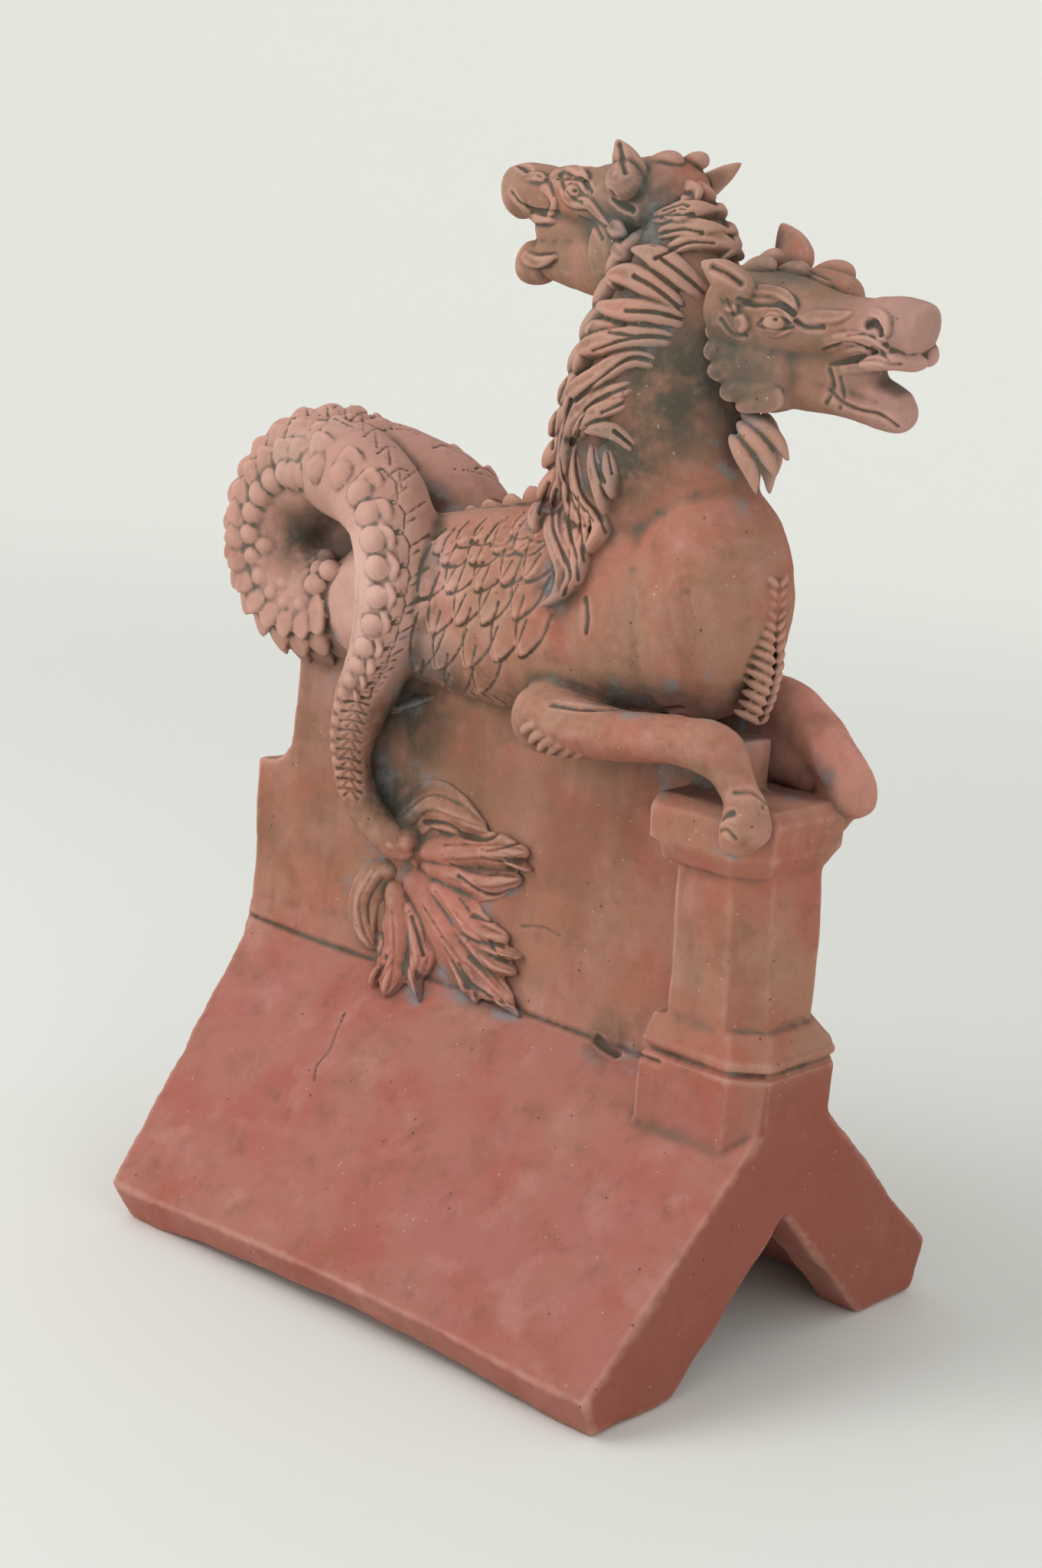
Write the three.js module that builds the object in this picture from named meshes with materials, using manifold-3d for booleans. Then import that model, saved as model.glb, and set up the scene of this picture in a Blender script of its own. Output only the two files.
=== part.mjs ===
// Ridge tile ornament in fired clay: a saddle ridge tile carries an upright web, and on the web
// sits a two-headed sea horse, all of one casting.
// Millimetres, +Z up. +X is the front, where the pier and the forelegs are. The ridge runs along X.
// Measures along the ridge are taken from the front face of the tile: 0 at the front, minus behind.

import * as THREE from 'three';
import { mergeVertices } from 'three/addons/utils/BufferGeometryUtils.js';
import Module from 'manifold-3d';

const wasm = await Module();
wasm.setup();

// ---- driving dimensions -------------------------------------------------------------------

const TILE_LENGTH = 500;          // along the ridge
const NEAR_HALF_WIDTH = 191;      // to the lower corner of the slope at -Y
const FAR_HALF_WIDTH = 178;       // the slope at +Y came out of the kiln a little shorter
const FOOT_INSET = 12;            // how far the butt edge leans in towards the ground
const EDGE_HEIGHT = 25;           // height of the butt edge below a slope
const SLOPE = 0.89;               // rise over run of a slope, about 42 degrees
const FRAME_HALF_OPENING = 103;   // half width of the opening in the thick end frames
const FRAME_DEPTH = 34;           // length of each end frame along the ridge
const FRAME_APEX = 96;            // height of the opening under the ridge
const WALL_THICKNESS = 42;        // of a slope between the end frames, measured level
const UNDERSIDE_BOW = 9;          // how far the long edges arch clear of the ground
const BACK_SKEW = 72;             // how much shorter the tile is at its feet than at its ridge

const WEB_THICKNESS = 30;
const WEB_TOP = 378;              // where the beast's body sits on the web
const WEB_LEDGE = 300;            // top of the low step at the back of the web

const PIER_FRONT = -11;
const PIER_BACK = -80;
const PIER_HALF_WIDTH = 42;
const PIER_CHAMFER = 19;
const BASE_BACK = -90;
const BASE_HALF_WIDTH = 54;
const BASE_TOP = 201;
const BASE_MOULDING = 19;
const SLAB_HALF_WIDTH = 56;
const SLAB_BOTTOM = 322;
const SLAB_TOP = 364;

const RING_X = -452;              // centre of the tail's ring
const RING_Z = 471;
const RING_RADIUS = 49;
const TAIL_THICK = 41;            // radius of the tail round the ring

const FRONT_HEAD = {
  x: -110, y: -6, z: 650, roll: 14, turn: 0, jaw: 1, brow: 26, ear: [-2, 46, 55],
};
const REAR_HEAD = {
  x: -164, y: 6, z: 712, roll: 0, turn: 180, jaw: 0.84, brow: 18, ear: [14, 36, 50],
};

const CLAY = new THREE.MeshStandardMaterial({ color: 0xb06a55, roughness: 0.9, metalness: 0 });

// ---- solids from three.js geometry --------------------------------------------------------

function solid(geometry) {
  geometry.deleteAttribute('normal');
  geometry.deleteAttribute('uv');
  const merged = mergeVertices(geometry, 1e-4);
  return new wasm.Manifold(new wasm.Mesh({
    numProp: 3,
    vertProperties: new Float32Array(merged.attributes.position.array),
    triVerts: new Uint32Array(merged.index.array),
  }));
}

function joined(solids) {
  return solids.reduce((whole, next) => whole.add(next));
}

function meshOf(name, whole) {
  const shape = whole.getMesh();
  const geometry = new THREE.BufferGeometry();
  geometry.setAttribute('position', new THREE.BufferAttribute(shape.vertProperties, 3));
  geometry.setIndex(new THREE.BufferAttribute(shape.triVerts, 1));
  geometry.computeVertexNormals();
  const mesh = new THREE.Mesh(geometry, CLAY);
  mesh.name = name;
  return mesh;
}

// A flat outline of [across, up] points, run along the ridge from one measure to another.
function alongRidge(outline, from, to) {
  const shape = new THREE.Shape(outline.map(([y, z]) => new THREE.Vector2(y, z)));
  const geometry = new THREE.ExtrudeGeometry(shape, { depth: to - from, bevelEnabled: false });
  geometry.applyMatrix4(new THREE.Matrix4().set(0, 0, 1, from, 1, 0, 0, 0, 0, 1, 0, 0, 0, 0, 0, 1));
  return solid(geometry);
}

// A flat outline of [along, up] points, with an even thickness across the ridge.
function acrossRidge(outline, thickness) {
  const shape = new THREE.Shape(outline.map(([x, z]) => new THREE.Vector2(x, z)));
  const geometry = new THREE.ExtrudeGeometry(shape, { depth: thickness, bevelEnabled: false });
  geometry.rotateX(Math.PI / 2).translate(0, thickness / 2, 0);
  return solid(geometry);
}

// An upright block on a plan of [along, across] points. Its top may grow or shrink by a measure
// at the front and another at the sides.
function upright(plan, bottom, top, [growFront, growSide] = [0, 0]) {
  const shape = new THREE.Shape(plan.map(([x, y]) => new THREE.Vector2(x, y)));
  const geometry = new THREE.ExtrudeGeometry(shape, { depth: top - bottom, bevelEnabled: false });
  const at = geometry.attributes.position;
  for (let i = 0; i < at.count; i += 1) {
    if (at.getZ(i) > 1e-3) {
      const front = at.getX(i) > -40 ? growFront : 0;
      at.setXY(i, at.getX(i) + front, at.getY(i) + growSide * Math.sign(at.getY(i)));
    }
  }
  geometry.translate(0, 0, bottom);
  return solid(geometry);
}

// The plan of the pier and its mouldings: square at the back, two corners cut off at the front.
function chamferedPlan(front, back, halfWidth, chamfer) {
  return [
    [back, -halfWidth], [front - chamfer, -halfWidth], [front, chamfer - halfWidth],
    [front, halfWidth - chamfer], [front - chamfer, halfWidth], [back, halfWidth],
  ];
}

function ball([x, y, z], [rx, ry, rz], turn = [0, 0, 0], around = 12, down = 8) {
  const geometry = new THREE.SphereGeometry(1, around, down);
  const place = new THREE.Matrix4().compose(
    new THREE.Vector3(x, y, z),
    new THREE.Quaternion().setFromEuler(new THREE.Euler(...turn.map(THREE.MathUtils.degToRad))),
    new THREE.Vector3(rx, ry, rz),
  );
  return solid(geometry.applyMatrix4(place));
}

// A rounded limb along a curve. Each station is [x, y, z, half width, half height].
function limb(stations, around = 16, along = 20, blunt = 0.18) {
  const curve = new THREE.CatmullRomCurve3(
    stations.map(([x, y, z]) => new THREE.Vector3(x, y, z)), false, 'centripetal',
  );
  const across = new THREE.Vector3(0, 1, 0);
  const geometry = new THREE.SphereGeometry(1, around, along);
  const at = geometry.attributes.position;
  for (let i = 0; i < at.count; i += 1) {
    const latitude = Math.acos(THREE.MathUtils.clamp(at.getY(i), -1, 1)) / Math.PI;
    const turn = Math.atan2(at.getZ(i), at.getX(i));
    const fromEnd = Math.min(1, Math.min(latitude, 1 - latitude) / blunt);
    const cap = Math.sqrt(Math.max(0, 1 - (1 - fromEnd) ** 2));
    const place = latitude * (stations.length - 1);
    const first = Math.min(Math.floor(place), stations.length - 2);
    const blend = THREE.MathUtils.smoothstep(place - first, 0, 1);
    const wide = THREE.MathUtils.lerp(stations[first][3], stations[first + 1][3], blend) * cap;
    const high = THREE.MathUtils.lerp(stations[first][4], stations[first + 1][4], blend) * cap;
    const middle = curve.getPoint(latitude);
    const forward = curve.getTangent(latitude);
    const side = across.clone().addScaledVector(forward, -forward.y).normalize();
    const up = forward.clone().cross(side);
    middle.addScaledVector(side, Math.cos(turn) * wide).addScaledVector(up, Math.sin(turn) * high);
    at.setXYZ(i, middle.x, middle.y, middle.z);
  }
  return solid(geometry);
}

// The same stations on the other side of the ridge.
function mirrored(stations) {
  return stations.map(([x, y, z, wide, high]) => [x, -y, z, wide, high]);
}

// ---- the tile -----------------------------------------------------------------------------

const RIDGE_HEIGHT = EDGE_HEIGHT + NEAR_HALF_WIDTH * SLOPE;

function ridgeTile() {
  const farCorner = RIDGE_HEIGHT - FAR_HALF_WIDTH * SLOPE;
  const body = alongRidge([
    [-NEAR_HALF_WIDTH, EDGE_HEIGHT], [FOOT_INSET - NEAR_HALF_WIDTH, 0], [FAR_HALF_WIDTH - FOOT_INSET, 0],
    [FAR_HALF_WIDTH, farCorner], [0, RIDGE_HEIGHT],
  ], -TILE_LENGTH, 0);
  const overrun = 10;
  const channel = alongRidge([
    [-FRAME_HALF_OPENING, -overrun], [FRAME_HALF_OPENING, -overrun], [FRAME_HALF_OPENING, 0],
    [0, FRAME_APEX], [-FRAME_HALF_OPENING, 0],
  ], -TILE_LENGTH - overrun, overrun);
  const nearInner = NEAR_HALF_WIDTH - FOOT_INSET - WALL_THICKNESS;
  const farInner = FAR_HALF_WIDTH - FOOT_INSET - WALL_THICKNESS;
  const roof = farInner * SLOPE;
  const hollow = alongRidge([
    [-nearInner, -overrun], [farInner, -overrun], [farInner, 0], [0, roof],
    [(farInner - nearInner), roof], [-nearInner, 0],
  ], -TILE_LENGTH + BACK_SKEW + FRAME_DEPTH, -FRAME_DEPTH);
  return body.subtract(channel).subtract(hollow).subtract(underBow()).subtract(backSkew());
}

// The long edges rise clear of the ground between the end frames, as a shallow arch.
function underBow() {
  const span = TILE_LENGTH - 2 * FRAME_DEPTH - BACK_SKEW;
  const middle = -FRAME_DEPTH - span / 2;
  const radius = (span * span / 4 + UNDERSIDE_BOW ** 2) / (2 * UNDERSIDE_BOW);
  const half = Math.asin(span / 2 / radius);
  const steps = 10;
  const outline = [];
  for (let i = 0; i <= steps; i += 1) {
    const angle = -half + 2 * half * i / steps;
    outline.push([middle + radius * Math.sin(angle), UNDERSIDE_BOW - radius + radius * Math.cos(angle)]);
  }
  outline.push([middle + span / 2, -20], [middle - span / 2, -20]);
  return acrossRidge(outline, 3 * NEAR_HALF_WIDTH);
}

// The back end leans in towards the feet.
function backSkew() {
  return acrossRidge([
    [-TILE_LENGTH - 20, -1], [-TILE_LENGTH + BACK_SKEW, -1], [-TILE_LENGTH, RIDGE_HEIGHT],
    [-TILE_LENGTH - 20, RIDGE_HEIGHT],
  ], 3 * NEAR_HALF_WIDTH);
}

// ---- the web and the pier -----------------------------------------------------------------

function web() {
  const slopeAt = RIDGE_HEIGHT - WEB_THICKNESS / 2 * SLOPE - 12;
  const outline = [[-TILE_LENGTH + 4, slopeAt], [PIER_BACK + 20, slopeAt], [PIER_BACK + 20, WEB_TOP + 20]];
  outline.push([-462, WEB_TOP + 20], [-464, 352]);
  const hollow = 24;
  for (let i = 0; i <= 4; i += 1) {
    const angle = Math.PI / 2 * i / 4;
    outline.push([-490 + hollow * Math.cos(angle), WEB_LEDGE + hollow - hollow * Math.sin(angle)]);
  }
  outline.push([-TILE_LENGTH, WEB_LEDGE]);
  return acrossRidge(outline, WEB_THICKNESS);
}

function pier() {
  const shaftPlan = chamferedPlan(PIER_FRONT, PIER_BACK, PIER_HALF_WIDTH, PIER_CHAMFER);
  const basePlan = chamferedPlan(0, BASE_BACK, BASE_HALF_WIDTH, PIER_CHAMFER);
  const slabPlan = chamferedPlan(-13, -98, SLAB_HALF_WIDTH, PIER_CHAMFER);
  return joined([
    upright(shaftPlan, 150, SLAB_BOTTOM + 4, [-8, 4]),
    upright(basePlan, 130, BASE_TOP - 3),
    upright(chamferedPlan(-2, BASE_BACK, BASE_HALF_WIDTH - 2, PIER_CHAMFER), BASE_TOP - 4, BASE_TOP + 2),
    upright(basePlan, BASE_TOP, BASE_TOP + BASE_MOULDING, [-9, -9]),
    upright(chamferedPlan(-19, -90, SLAB_HALF_WIDTH - 6, PIER_CHAMFER), SLAB_BOTTOM, SLAB_BOTTOM + 13, [6, 6]),
    upright(slabPlan, SLAB_BOTTOM + 12, SLAB_TOP - 8),
    upright(slabPlan, SLAB_TOP - 8, SLAB_TOP, [-7, -7]),
  ]);
}

// ---- the beast ----------------------------------------------------------------------------

// The trunk runs back from the chest, and its end is the bottom of the tail's ring.
const TRUNK = [
  [-112, 0, 470, 48, 60], [-140, 0, 470, 56, 70], [-190, 0, 462, 57, 74], [-250, 0, 450, 54, 72],
  [-320, 0, 444, 49, 64], [-390, 0, 432, 45, 50], [-440, 0, 424, 42, 43],
];

function ringPoint(degrees, y, thick) {
  const angle = THREE.MathUtils.degToRad(degrees);
  return [RING_X + RING_RADIUS * Math.cos(angle), y, RING_Z + RING_RADIUS * Math.sin(angle), thick, thick];
}

function ring() {
  const stations = [];
  for (let degrees = -120; degrees >= -290; degrees -= 24) {
    stations.push(ringPoint(degrees, 0, TAIL_THICK));
  }
  const tube = limb([[-400, 0, 424, 43, 42], ringPoint(-95, 0, TAIL_THICK), ...stations], 12, 17, 0.08);
  const closedEye = ball([RING_X, 0, RING_Z], [RING_RADIUS / 2, 12, RING_RADIUS / 2], [0, 0, 0], 8, 4);
  return tube.add(closedEye);
}

// From the top of the ring the tail parts in two, and one strand hangs down each side of the web.
const STRAND = [
  [-462, 0, 519, 36, 38], [-412, -16, 522, 33, 34], [-366, -32, 500, 27, 30], [-346, -37, 455, 23, 24],
  [-354, -36, 408, 20, 22], [-378, -32, 362, 17, 19], [-387, -29, 330, 15, 15], [-380, -28, 300, 14, 14],
  [-356, -27, 278, 13, 14], [-322, -24, 262, 9, 12],
];

function chest() {
  return ball([-112, 0, 480], [56, 55, 80], [0, 0, 0], 14, 9);
}

const NECK = [
  [-140, 0, 500, 46, 56], [-154, 0, 548, 48, 68], [-158, 0, 592, 45, 66], [-158, 0, 634, 40, 58],
  [-160, 3, 674, 34, 44], [-168, 5, 704, 28, 33], [-180, 6, 728, 20, 24],
];

const NEAR_FORELEG = [
  [-222, -44, 392, 20, 24], [-180, -52, 392, 24, 22], [-130, -54, 394, 22, 20], [-84, -54, 399, 20, 19],
  [-50, -52, 396, 19, 19], [-34, -50, 376, 16, 15], [-27, -49, 356, 19, 19], [-26, -49, 336, 22, 22],
];

const FAR_FORELEG = [
  [-222, 44, 392, 20, 24], [-170, 50, 396, 24, 22], [-116, 50, 405, 20, 19], [-82, 48, 409, 18, 18],
  [-50, 46, 396, 15, 15], [-29, 45, 381, 15, 15], [-18, 44, 364, 18, 17], [-17, 44, 346, 20, 20],
];

// A head in its own measures: the poll at 0, the nose towards +X, and the crown up.
function head({ jaw, brow, ear }) {
  const skull = limb([
    [-14, 0, 8, 26, 30], [14, 0, 12, 32, 30], [44, 0, 14, 33, 26], [78, 0, 12, 24, 19],
    [108, 0, 12, 20, 17], [132, 0, 11, 23, 19], [146, 0, 8, 17, 14],
  ], 10, 11);
  const lowerJaw = limb([
    [30, 0, -20, 22, 20], [30 + 50 * jaw, 0, -34, 18, 12],
    [30 + 82 * jaw, 0, -42, 15, 8], [30 + 106 * jaw, 0, -40, 13, 9],
  ], 8, 7);
  const tongue = limb([[70, 0, -20, 10, 7], [78 + 30 * jaw, 0, -30, 11, 5], [78 + 56 * jaw, 0, -34, 10, 4]], 6, 6);
  const mouth = limb([[30, 0, -6, 16, 18], [80, 0, -14, 15, 16], [112, 0, -16, 12, 16]], 8, 8);
  const parts = [skull, lowerJaw, tongue, mouth];
  for (const side of [-1, 1]) {
    parts.push(ball([30, 12 * side, -14], [34, 23, 33], [0, 0, 0], 9, 6));
    parts.push(ball([52, 28 * side, 19], [9, 7, 8], [0, 0, 0], 6, 4));
    parts.push(limb([
      [24, 27 * side, brow, 8, 8], [48, 30 * side, brow + 8, 9, 7], [76, 22 * side, brow - 2, 7, 7],
    ], 6, 6));
    const [earX, earY, earZ] = ear;
    parts.push(limb([
      [earX + 22, 22 * side, 26, 11, 10], [earX + 10, (earY - 8) * side, earZ - 14, 11, 9],
      [earX, earY * side, earZ, 4, 4],
    ], 6, 5, 0.3));
    parts.push(ball([126, 17 * side, 12], [11, 8, 10], [0, 0, 0], 6, 4));
  }
  return joined(parts);
}

function placedHead(which) {
  const turned = new THREE.Matrix4().makeRotationFromEuler(new THREE.Euler(
    THREE.MathUtils.degToRad(which.roll), 0, THREE.MathUtils.degToRad(which.turn), 'ZYX',
  ));
  return head(which).transform(turned.setPosition(which.x, which.y, which.z).elements);
}

// The mane is rows of pointed locks that lie down the back of the neck.
function mane() {
  const rows = 5;
  const locks = [];
  for (let row = 0; row < rows; row += 1) {
    const down = row / (rows - 1);
    const x = -168 - 34 * Math.sin(down * Math.PI * 0.62);
    const z = 690 - 176 * down;
    for (const y of [-28, 0, 28]) {
      const bulge = 10 * Math.cos(y / 30);
      locks.push(limb([
        [x - bulge, y, z, 15, 11], [x - bulge - 14, y * 1.15, z - 16, 15, 10],
        [x - bulge - 18 - 6 * (1 - down), y * 1.25, z - 46, 4, 4],
      ], 6, 5, 0.3));
    }
  }
  return joined(locks);
}

// Pointed scales lie in rows over the flanks, and a row of taller ones stands along the spine.
function scales() {
  const list = [];
  for (let column = 0; column < 5; column += 1) {
    const x = -330 + 24 * column;
    for (let row = 0; row < 3; row += 1) {
      for (const side of [-1, 1]) {
        const angle = THREE.MathUtils.degToRad(6 + 30 * row + (column % 2) * 15);
        const y = side * 50 * Math.cos(angle);
        const z = 446 + 62 * Math.sin(angle);
        list.push(ball([x, y, z], [15, 8, 19], [side * -(6 + 30 * row), 0, 0], 5, 4));
      }
    }
  }
  for (let i = 0; i < 5; i += 1) {
    list.push(ball([-324 + 19 * i, 0, 505 + 3.4 * i], [13, 7, 14], [0, 30, 0], 5, 4));
  }
  return joined(list);
}

// The tail ends in a spread leaf that lies on the web and the slope.
function leaf(side) {
  const face = WEB_THICKNESS / 2;
  const middle = [-330, 255];
  const lobes = [[28, 100, 22], [2, 112, 20], [-32, 122, 24], [-84, 84, 20], [-140, 62, 20]];
  const parts = lobes.map(([degrees, length, width]) => {
    const angle = THREE.MathUtils.degToRad(degrees);
    const point = (reach, lift) => [
      middle[0] + length * reach * Math.cos(angle), side * (face + lift), middle[1] + length * reach * Math.sin(angle),
    ];
    return limb([[...point(0, 6), 10, width * 0.6], [...point(0.5, 12), 9, width], [...point(0.95, 6), 8, width * 0.6]], 6, 5, 0.3);
  });
  return joined(parts);
}

function beast() {
  return joined([
    limb(TRUNK, 16, 14), chest(), ring(), limb(STRAND, 9, 17), limb(mirrored(STRAND), 9, 17),
    limb(NECK, 14, 11), limb(NEAR_FORELEG, 9, 13), limb(FAR_FORELEG, 9, 13),
    placedHead(FRONT_HEAD), placedHead(REAR_HEAD), mane(), scales(), leaf(-1), leaf(1),
  ]);
}

// ---- the whole casting, stood with its origin at the middle of its footprint ----------------

const ornament = meshOf('ridge_tile_beast', joined([ridgeTile(), web(), pier(), beast()]));
const part = new THREE.Group();
part.add(ornament);
const size = new THREE.Box3().setFromObject(part);
const centre = size.getCenter(new THREE.Vector3());
part.position.set(-centre.x, -centre.y, -size.min.z);

export default part;
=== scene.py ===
import math
import random

import bpy
import numpy as np
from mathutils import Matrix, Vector
from mathutils.bvhtree import BVHTree
from mathutils.kdtree import KDTree


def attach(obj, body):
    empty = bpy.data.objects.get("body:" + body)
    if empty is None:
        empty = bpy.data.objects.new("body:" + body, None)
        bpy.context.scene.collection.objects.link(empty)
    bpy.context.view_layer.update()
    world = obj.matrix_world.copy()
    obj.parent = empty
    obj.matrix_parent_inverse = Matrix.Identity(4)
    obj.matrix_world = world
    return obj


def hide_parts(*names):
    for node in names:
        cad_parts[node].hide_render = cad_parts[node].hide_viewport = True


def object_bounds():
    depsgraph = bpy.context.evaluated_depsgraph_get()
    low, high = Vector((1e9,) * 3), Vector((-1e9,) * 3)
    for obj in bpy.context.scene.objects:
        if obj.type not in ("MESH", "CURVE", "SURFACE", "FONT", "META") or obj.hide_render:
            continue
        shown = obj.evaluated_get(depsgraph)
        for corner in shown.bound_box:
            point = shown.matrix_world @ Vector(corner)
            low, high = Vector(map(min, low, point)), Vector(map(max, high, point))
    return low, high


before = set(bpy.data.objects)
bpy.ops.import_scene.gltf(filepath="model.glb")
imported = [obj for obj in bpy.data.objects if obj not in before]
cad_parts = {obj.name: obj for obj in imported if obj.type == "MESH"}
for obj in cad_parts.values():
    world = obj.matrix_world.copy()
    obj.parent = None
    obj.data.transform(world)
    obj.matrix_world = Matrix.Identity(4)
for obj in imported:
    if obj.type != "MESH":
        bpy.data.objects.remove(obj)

cad_low, cad_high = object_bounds()

# A ridge tile ornament in fired clay. It is modelled in millimetres in the tile's own measures:
# x is 0 at the front face of the tile and minus behind, y is 0 at the ridge, z is 0 at the ground.
# The last step brings every piece into the frame's place and metres.
FRONT_FACE_IN = 36.0            # the hoof and the muzzle stand this far in front of the tile
NEAR_HALF_WIDTH = 191.0
FRAME_SHIFT = np.array([cad_high[0] * 1000 - FRONT_FACE_IN, cad_low[1] * 1000 + NEAR_HALF_WIDTH, 0.0])
CAD_CLEARANCE = 0.3             # every point stays this far inside the box of the CAD solid
TRIANGLE_LIMIT = 196000
COARSE = 1.0

# sizes of the voxels that fuse each form and each finished piece
FORM_VOXEL = 2.6
HEAD_FORM_VOXEL = 1.8
TILE_VOXEL = 1.8
BODY_VOXEL = 1.3
HEAD_VOXEL = 0.95
MANE_VOXEL = 1.05

# The maker's viewpoint. Details are laid on along the line of sight from here, so that they sit
# on the clay where they are seen.
EYE = Vector((850.94, -1291.26, 707.39))
chance = random.Random(7)


# ---- curves and templates ----------------------------------------------------------------

def deselect():
    bpy.ops.object.select_all(action="DESELECT")


def smooth_between(rows, places):
    """Rows of numbers read at fractional places, on a Catmull-Rom curve through every row."""
    rows = np.asarray(rows, float)
    padded = np.vstack([2 * rows[0] - rows[1], rows, 2 * rows[-1] - rows[-2]])
    first = np.clip(np.floor(places).astype(int), 0, len(rows) - 2)
    t = (places - first)[:, None]
    a, b, c, d = (padded[first + k] for k in range(4))
    bend = 2 * a - 5 * b + 4 * c - d
    twist = 3 * b - a - 3 * c + d
    return 0.5 * (2 * b + (c - a) * t + bend * t ** 2 + twist * t ** 3)


templates = {}


def sphere_template(around, along):
    """Points and faces of a unit sphere primitive, kept so that each size is made only once."""
    if (around, along) not in templates:
        deselect()
        bpy.ops.mesh.primitive_uv_sphere_add(segments=around, ring_count=along, radius=1)
        made = bpy.context.object
        points = np.array([v.co[:] for v in made.data.vertices])
        faces = [tuple(f.vertices) for f in made.data.polygons]
        bpy.data.meshes.remove(made.data)
        templates[around, along] = (points, faces)
    return templates[around, along]


class Clay:
    """Closed lumps of clay, gathered until they are pressed into one skin."""

    def __init__(self):
        self.points = []
        self.faces = []
        self.count = 0

    def add(self, points, faces, flip=None):
        """One lump. With flip, its mirror image is added as well."""
        for shape in (points,) if flip is None else (points, flip(points)):
            triangle = np.array([f[:3] for f in faces])
            a, b, c = (shape[triangle[:, k]] - shape.mean(axis=0) for k in range(3))
            inside_out = np.einsum("ij,ij->i", a, np.cross(b, c)).sum() < 0
            for face in faces:
                order = face[::-1] if inside_out else face
                self.faces.append([i + self.count for i in order])
            self.points.append(shape)
            self.count += len(shape)

    def start_from(self, made):
        """The faces of an object, as the ground that details grow out of."""
        self.add(point_array(made), [tuple(f.vertices) for f in made.data.polygons])

    def ball(self, centre, radii, flip=None, around=16, along=12):
        points, faces = sphere_template(around, along)
        self.add(points * np.asarray(radii, float) + np.asarray(centre, float), faces, flip)

    def limb(self, stations, around=22, along=30, blunt=0.18, across=(0, 1, 0), flip=None):
        """A rounded limb along a curve. Each station is x, y, z, half width, half height."""
        points, faces = sphere_template(around, along)
        latitude = np.arccos(np.clip(points[:, 2], -1, 1)) / math.pi
        turn = np.arctan2(points[:, 1], points[:, 0])
        from_end = np.minimum(1, np.minimum(latitude, 1 - latitude) / blunt)
        cap = np.sqrt(np.maximum(0, 1 - (1 - from_end) ** 2))[:, None]
        last = len(stations) - 1
        rows = smooth_between(stations, latitude * last)
        ahead = smooth_between(stations, np.minimum(latitude * last + 0.02, last))
        behind = smooth_between(stations, np.maximum(latitude * last - 0.02, 0))
        forward = ahead[:, :3] - behind[:, :3]
        forward /= np.linalg.norm(forward, axis=1)[:, None]
        side = np.asarray(across, float) - forward * (forward @ np.asarray(across, float))[:, None]
        side /= np.linalg.norm(side, axis=1)[:, None]
        up = np.cross(forward, side)
        shape = rows[:, :3] + side * np.cos(turn)[:, None] * rows[:, 3:4] * cap
        self.add(shape + up * np.sin(turn)[:, None] * rows[:, 4:5] * cap, faces, flip)

    def lock(self, skin, path, plane, thick, strands=3, flip=None, along=26):
        """A lock of hair that grows out of the skin. The path is x, z, half width, as seen on a plane."""
        points, faces = sphere_template(30, along)
        latitude = np.arccos(np.clip(points[:, 2], -1, 1)) / math.pi
        turn = np.arctan2(points[:, 1], points[:, 0])
        steps = np.linspace(0, 1, along + 1)
        seen = smooth_between(path, steps * (len(path) - 1))
        laid = [skin.press(x, z, plane) for x, z, _ in seen]
        middle = softened(np.array([p for p, _ in laid]), 3)
        normal = softened(np.array([n for _, n in laid]), 4)
        normal /= np.linalg.norm(normal, axis=1)[:, None]
        forward = np.gradient(middle, axis=0)
        forward /= np.linalg.norm(forward, axis=1)[:, None] + 1e-9
        side = np.cross(forward, normal)
        side /= np.linalg.norm(side, axis=1)[:, None] + 1e-9
        ring = np.rint(latitude * along).astype(int)
        from_end = np.minimum(1, np.minimum(latitude / 0.12, (1 - latitude) / 0.45))
        cap = np.sqrt(np.maximum(0, 1 - (1 - from_end) ** 2))
        ridges = 1 + 0.22 * np.cos(turn * 2 * strands) * (np.sin(turn) > 0)
        wide = seen[ring, 2] * cap * np.cos(turn)
        high = thick * (cap * np.sin(turn) * ridges + 1.1 * latitude - 0.75)
        self.add(middle[ring] + side[ring] * wide[:, None] + normal[ring] * high[:, None], faces, flip)

    def flake(self, skin, root, tip, plane, width, thick, flip=None, lift=0.8):
        """A scale that grows out of the skin and whose tip stands a little proud."""
        points, faces = sphere_template(14, 12)
        start, normal_a = skin.press(*root, plane)
        end, normal_b = skin.press(*tip, plane)
        along = end - start
        length = np.linalg.norm(along) / 2
        along /= 2 * length
        normal = normal_a + normal_b
        normal -= along * (normal @ along)
        normal /= np.linalg.norm(normal)
        side = np.cross(along, normal)
        reach = points[:, 0]
        wide = points[:, 1] * width * (1 - 0.42 * reach)
        plate = np.sign(points[:, 2]) * np.sqrt(np.abs(points[:, 2])) * 0.75
        high = plate * thick + lift * thick * reach
        shape = (start + end) / 2 + along * (reach * length)[:, None]
        self.add(shape + side * wide[:, None] + normal * high[:, None], faces, flip)

    def pressed(self, name):
        """The gathered lumps as one object."""
        mesh = bpy.data.meshes.new(name)
        mesh.from_pydata(np.vstack(self.points).tolist(), [], self.faces)
        made = bpy.data.objects.new(name, mesh)
        bpy.context.collection.objects.link(made)
        return made


def softened(rows, times):
    """Rows of numbers, each drawn towards its two neighbours a number of times."""
    for _ in range(times):
        rows = rows.copy()
        rows[1:-1] = 0.5 * rows[1:-1] + 0.25 * (rows[:-2] + rows[2:])
    return rows


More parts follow.
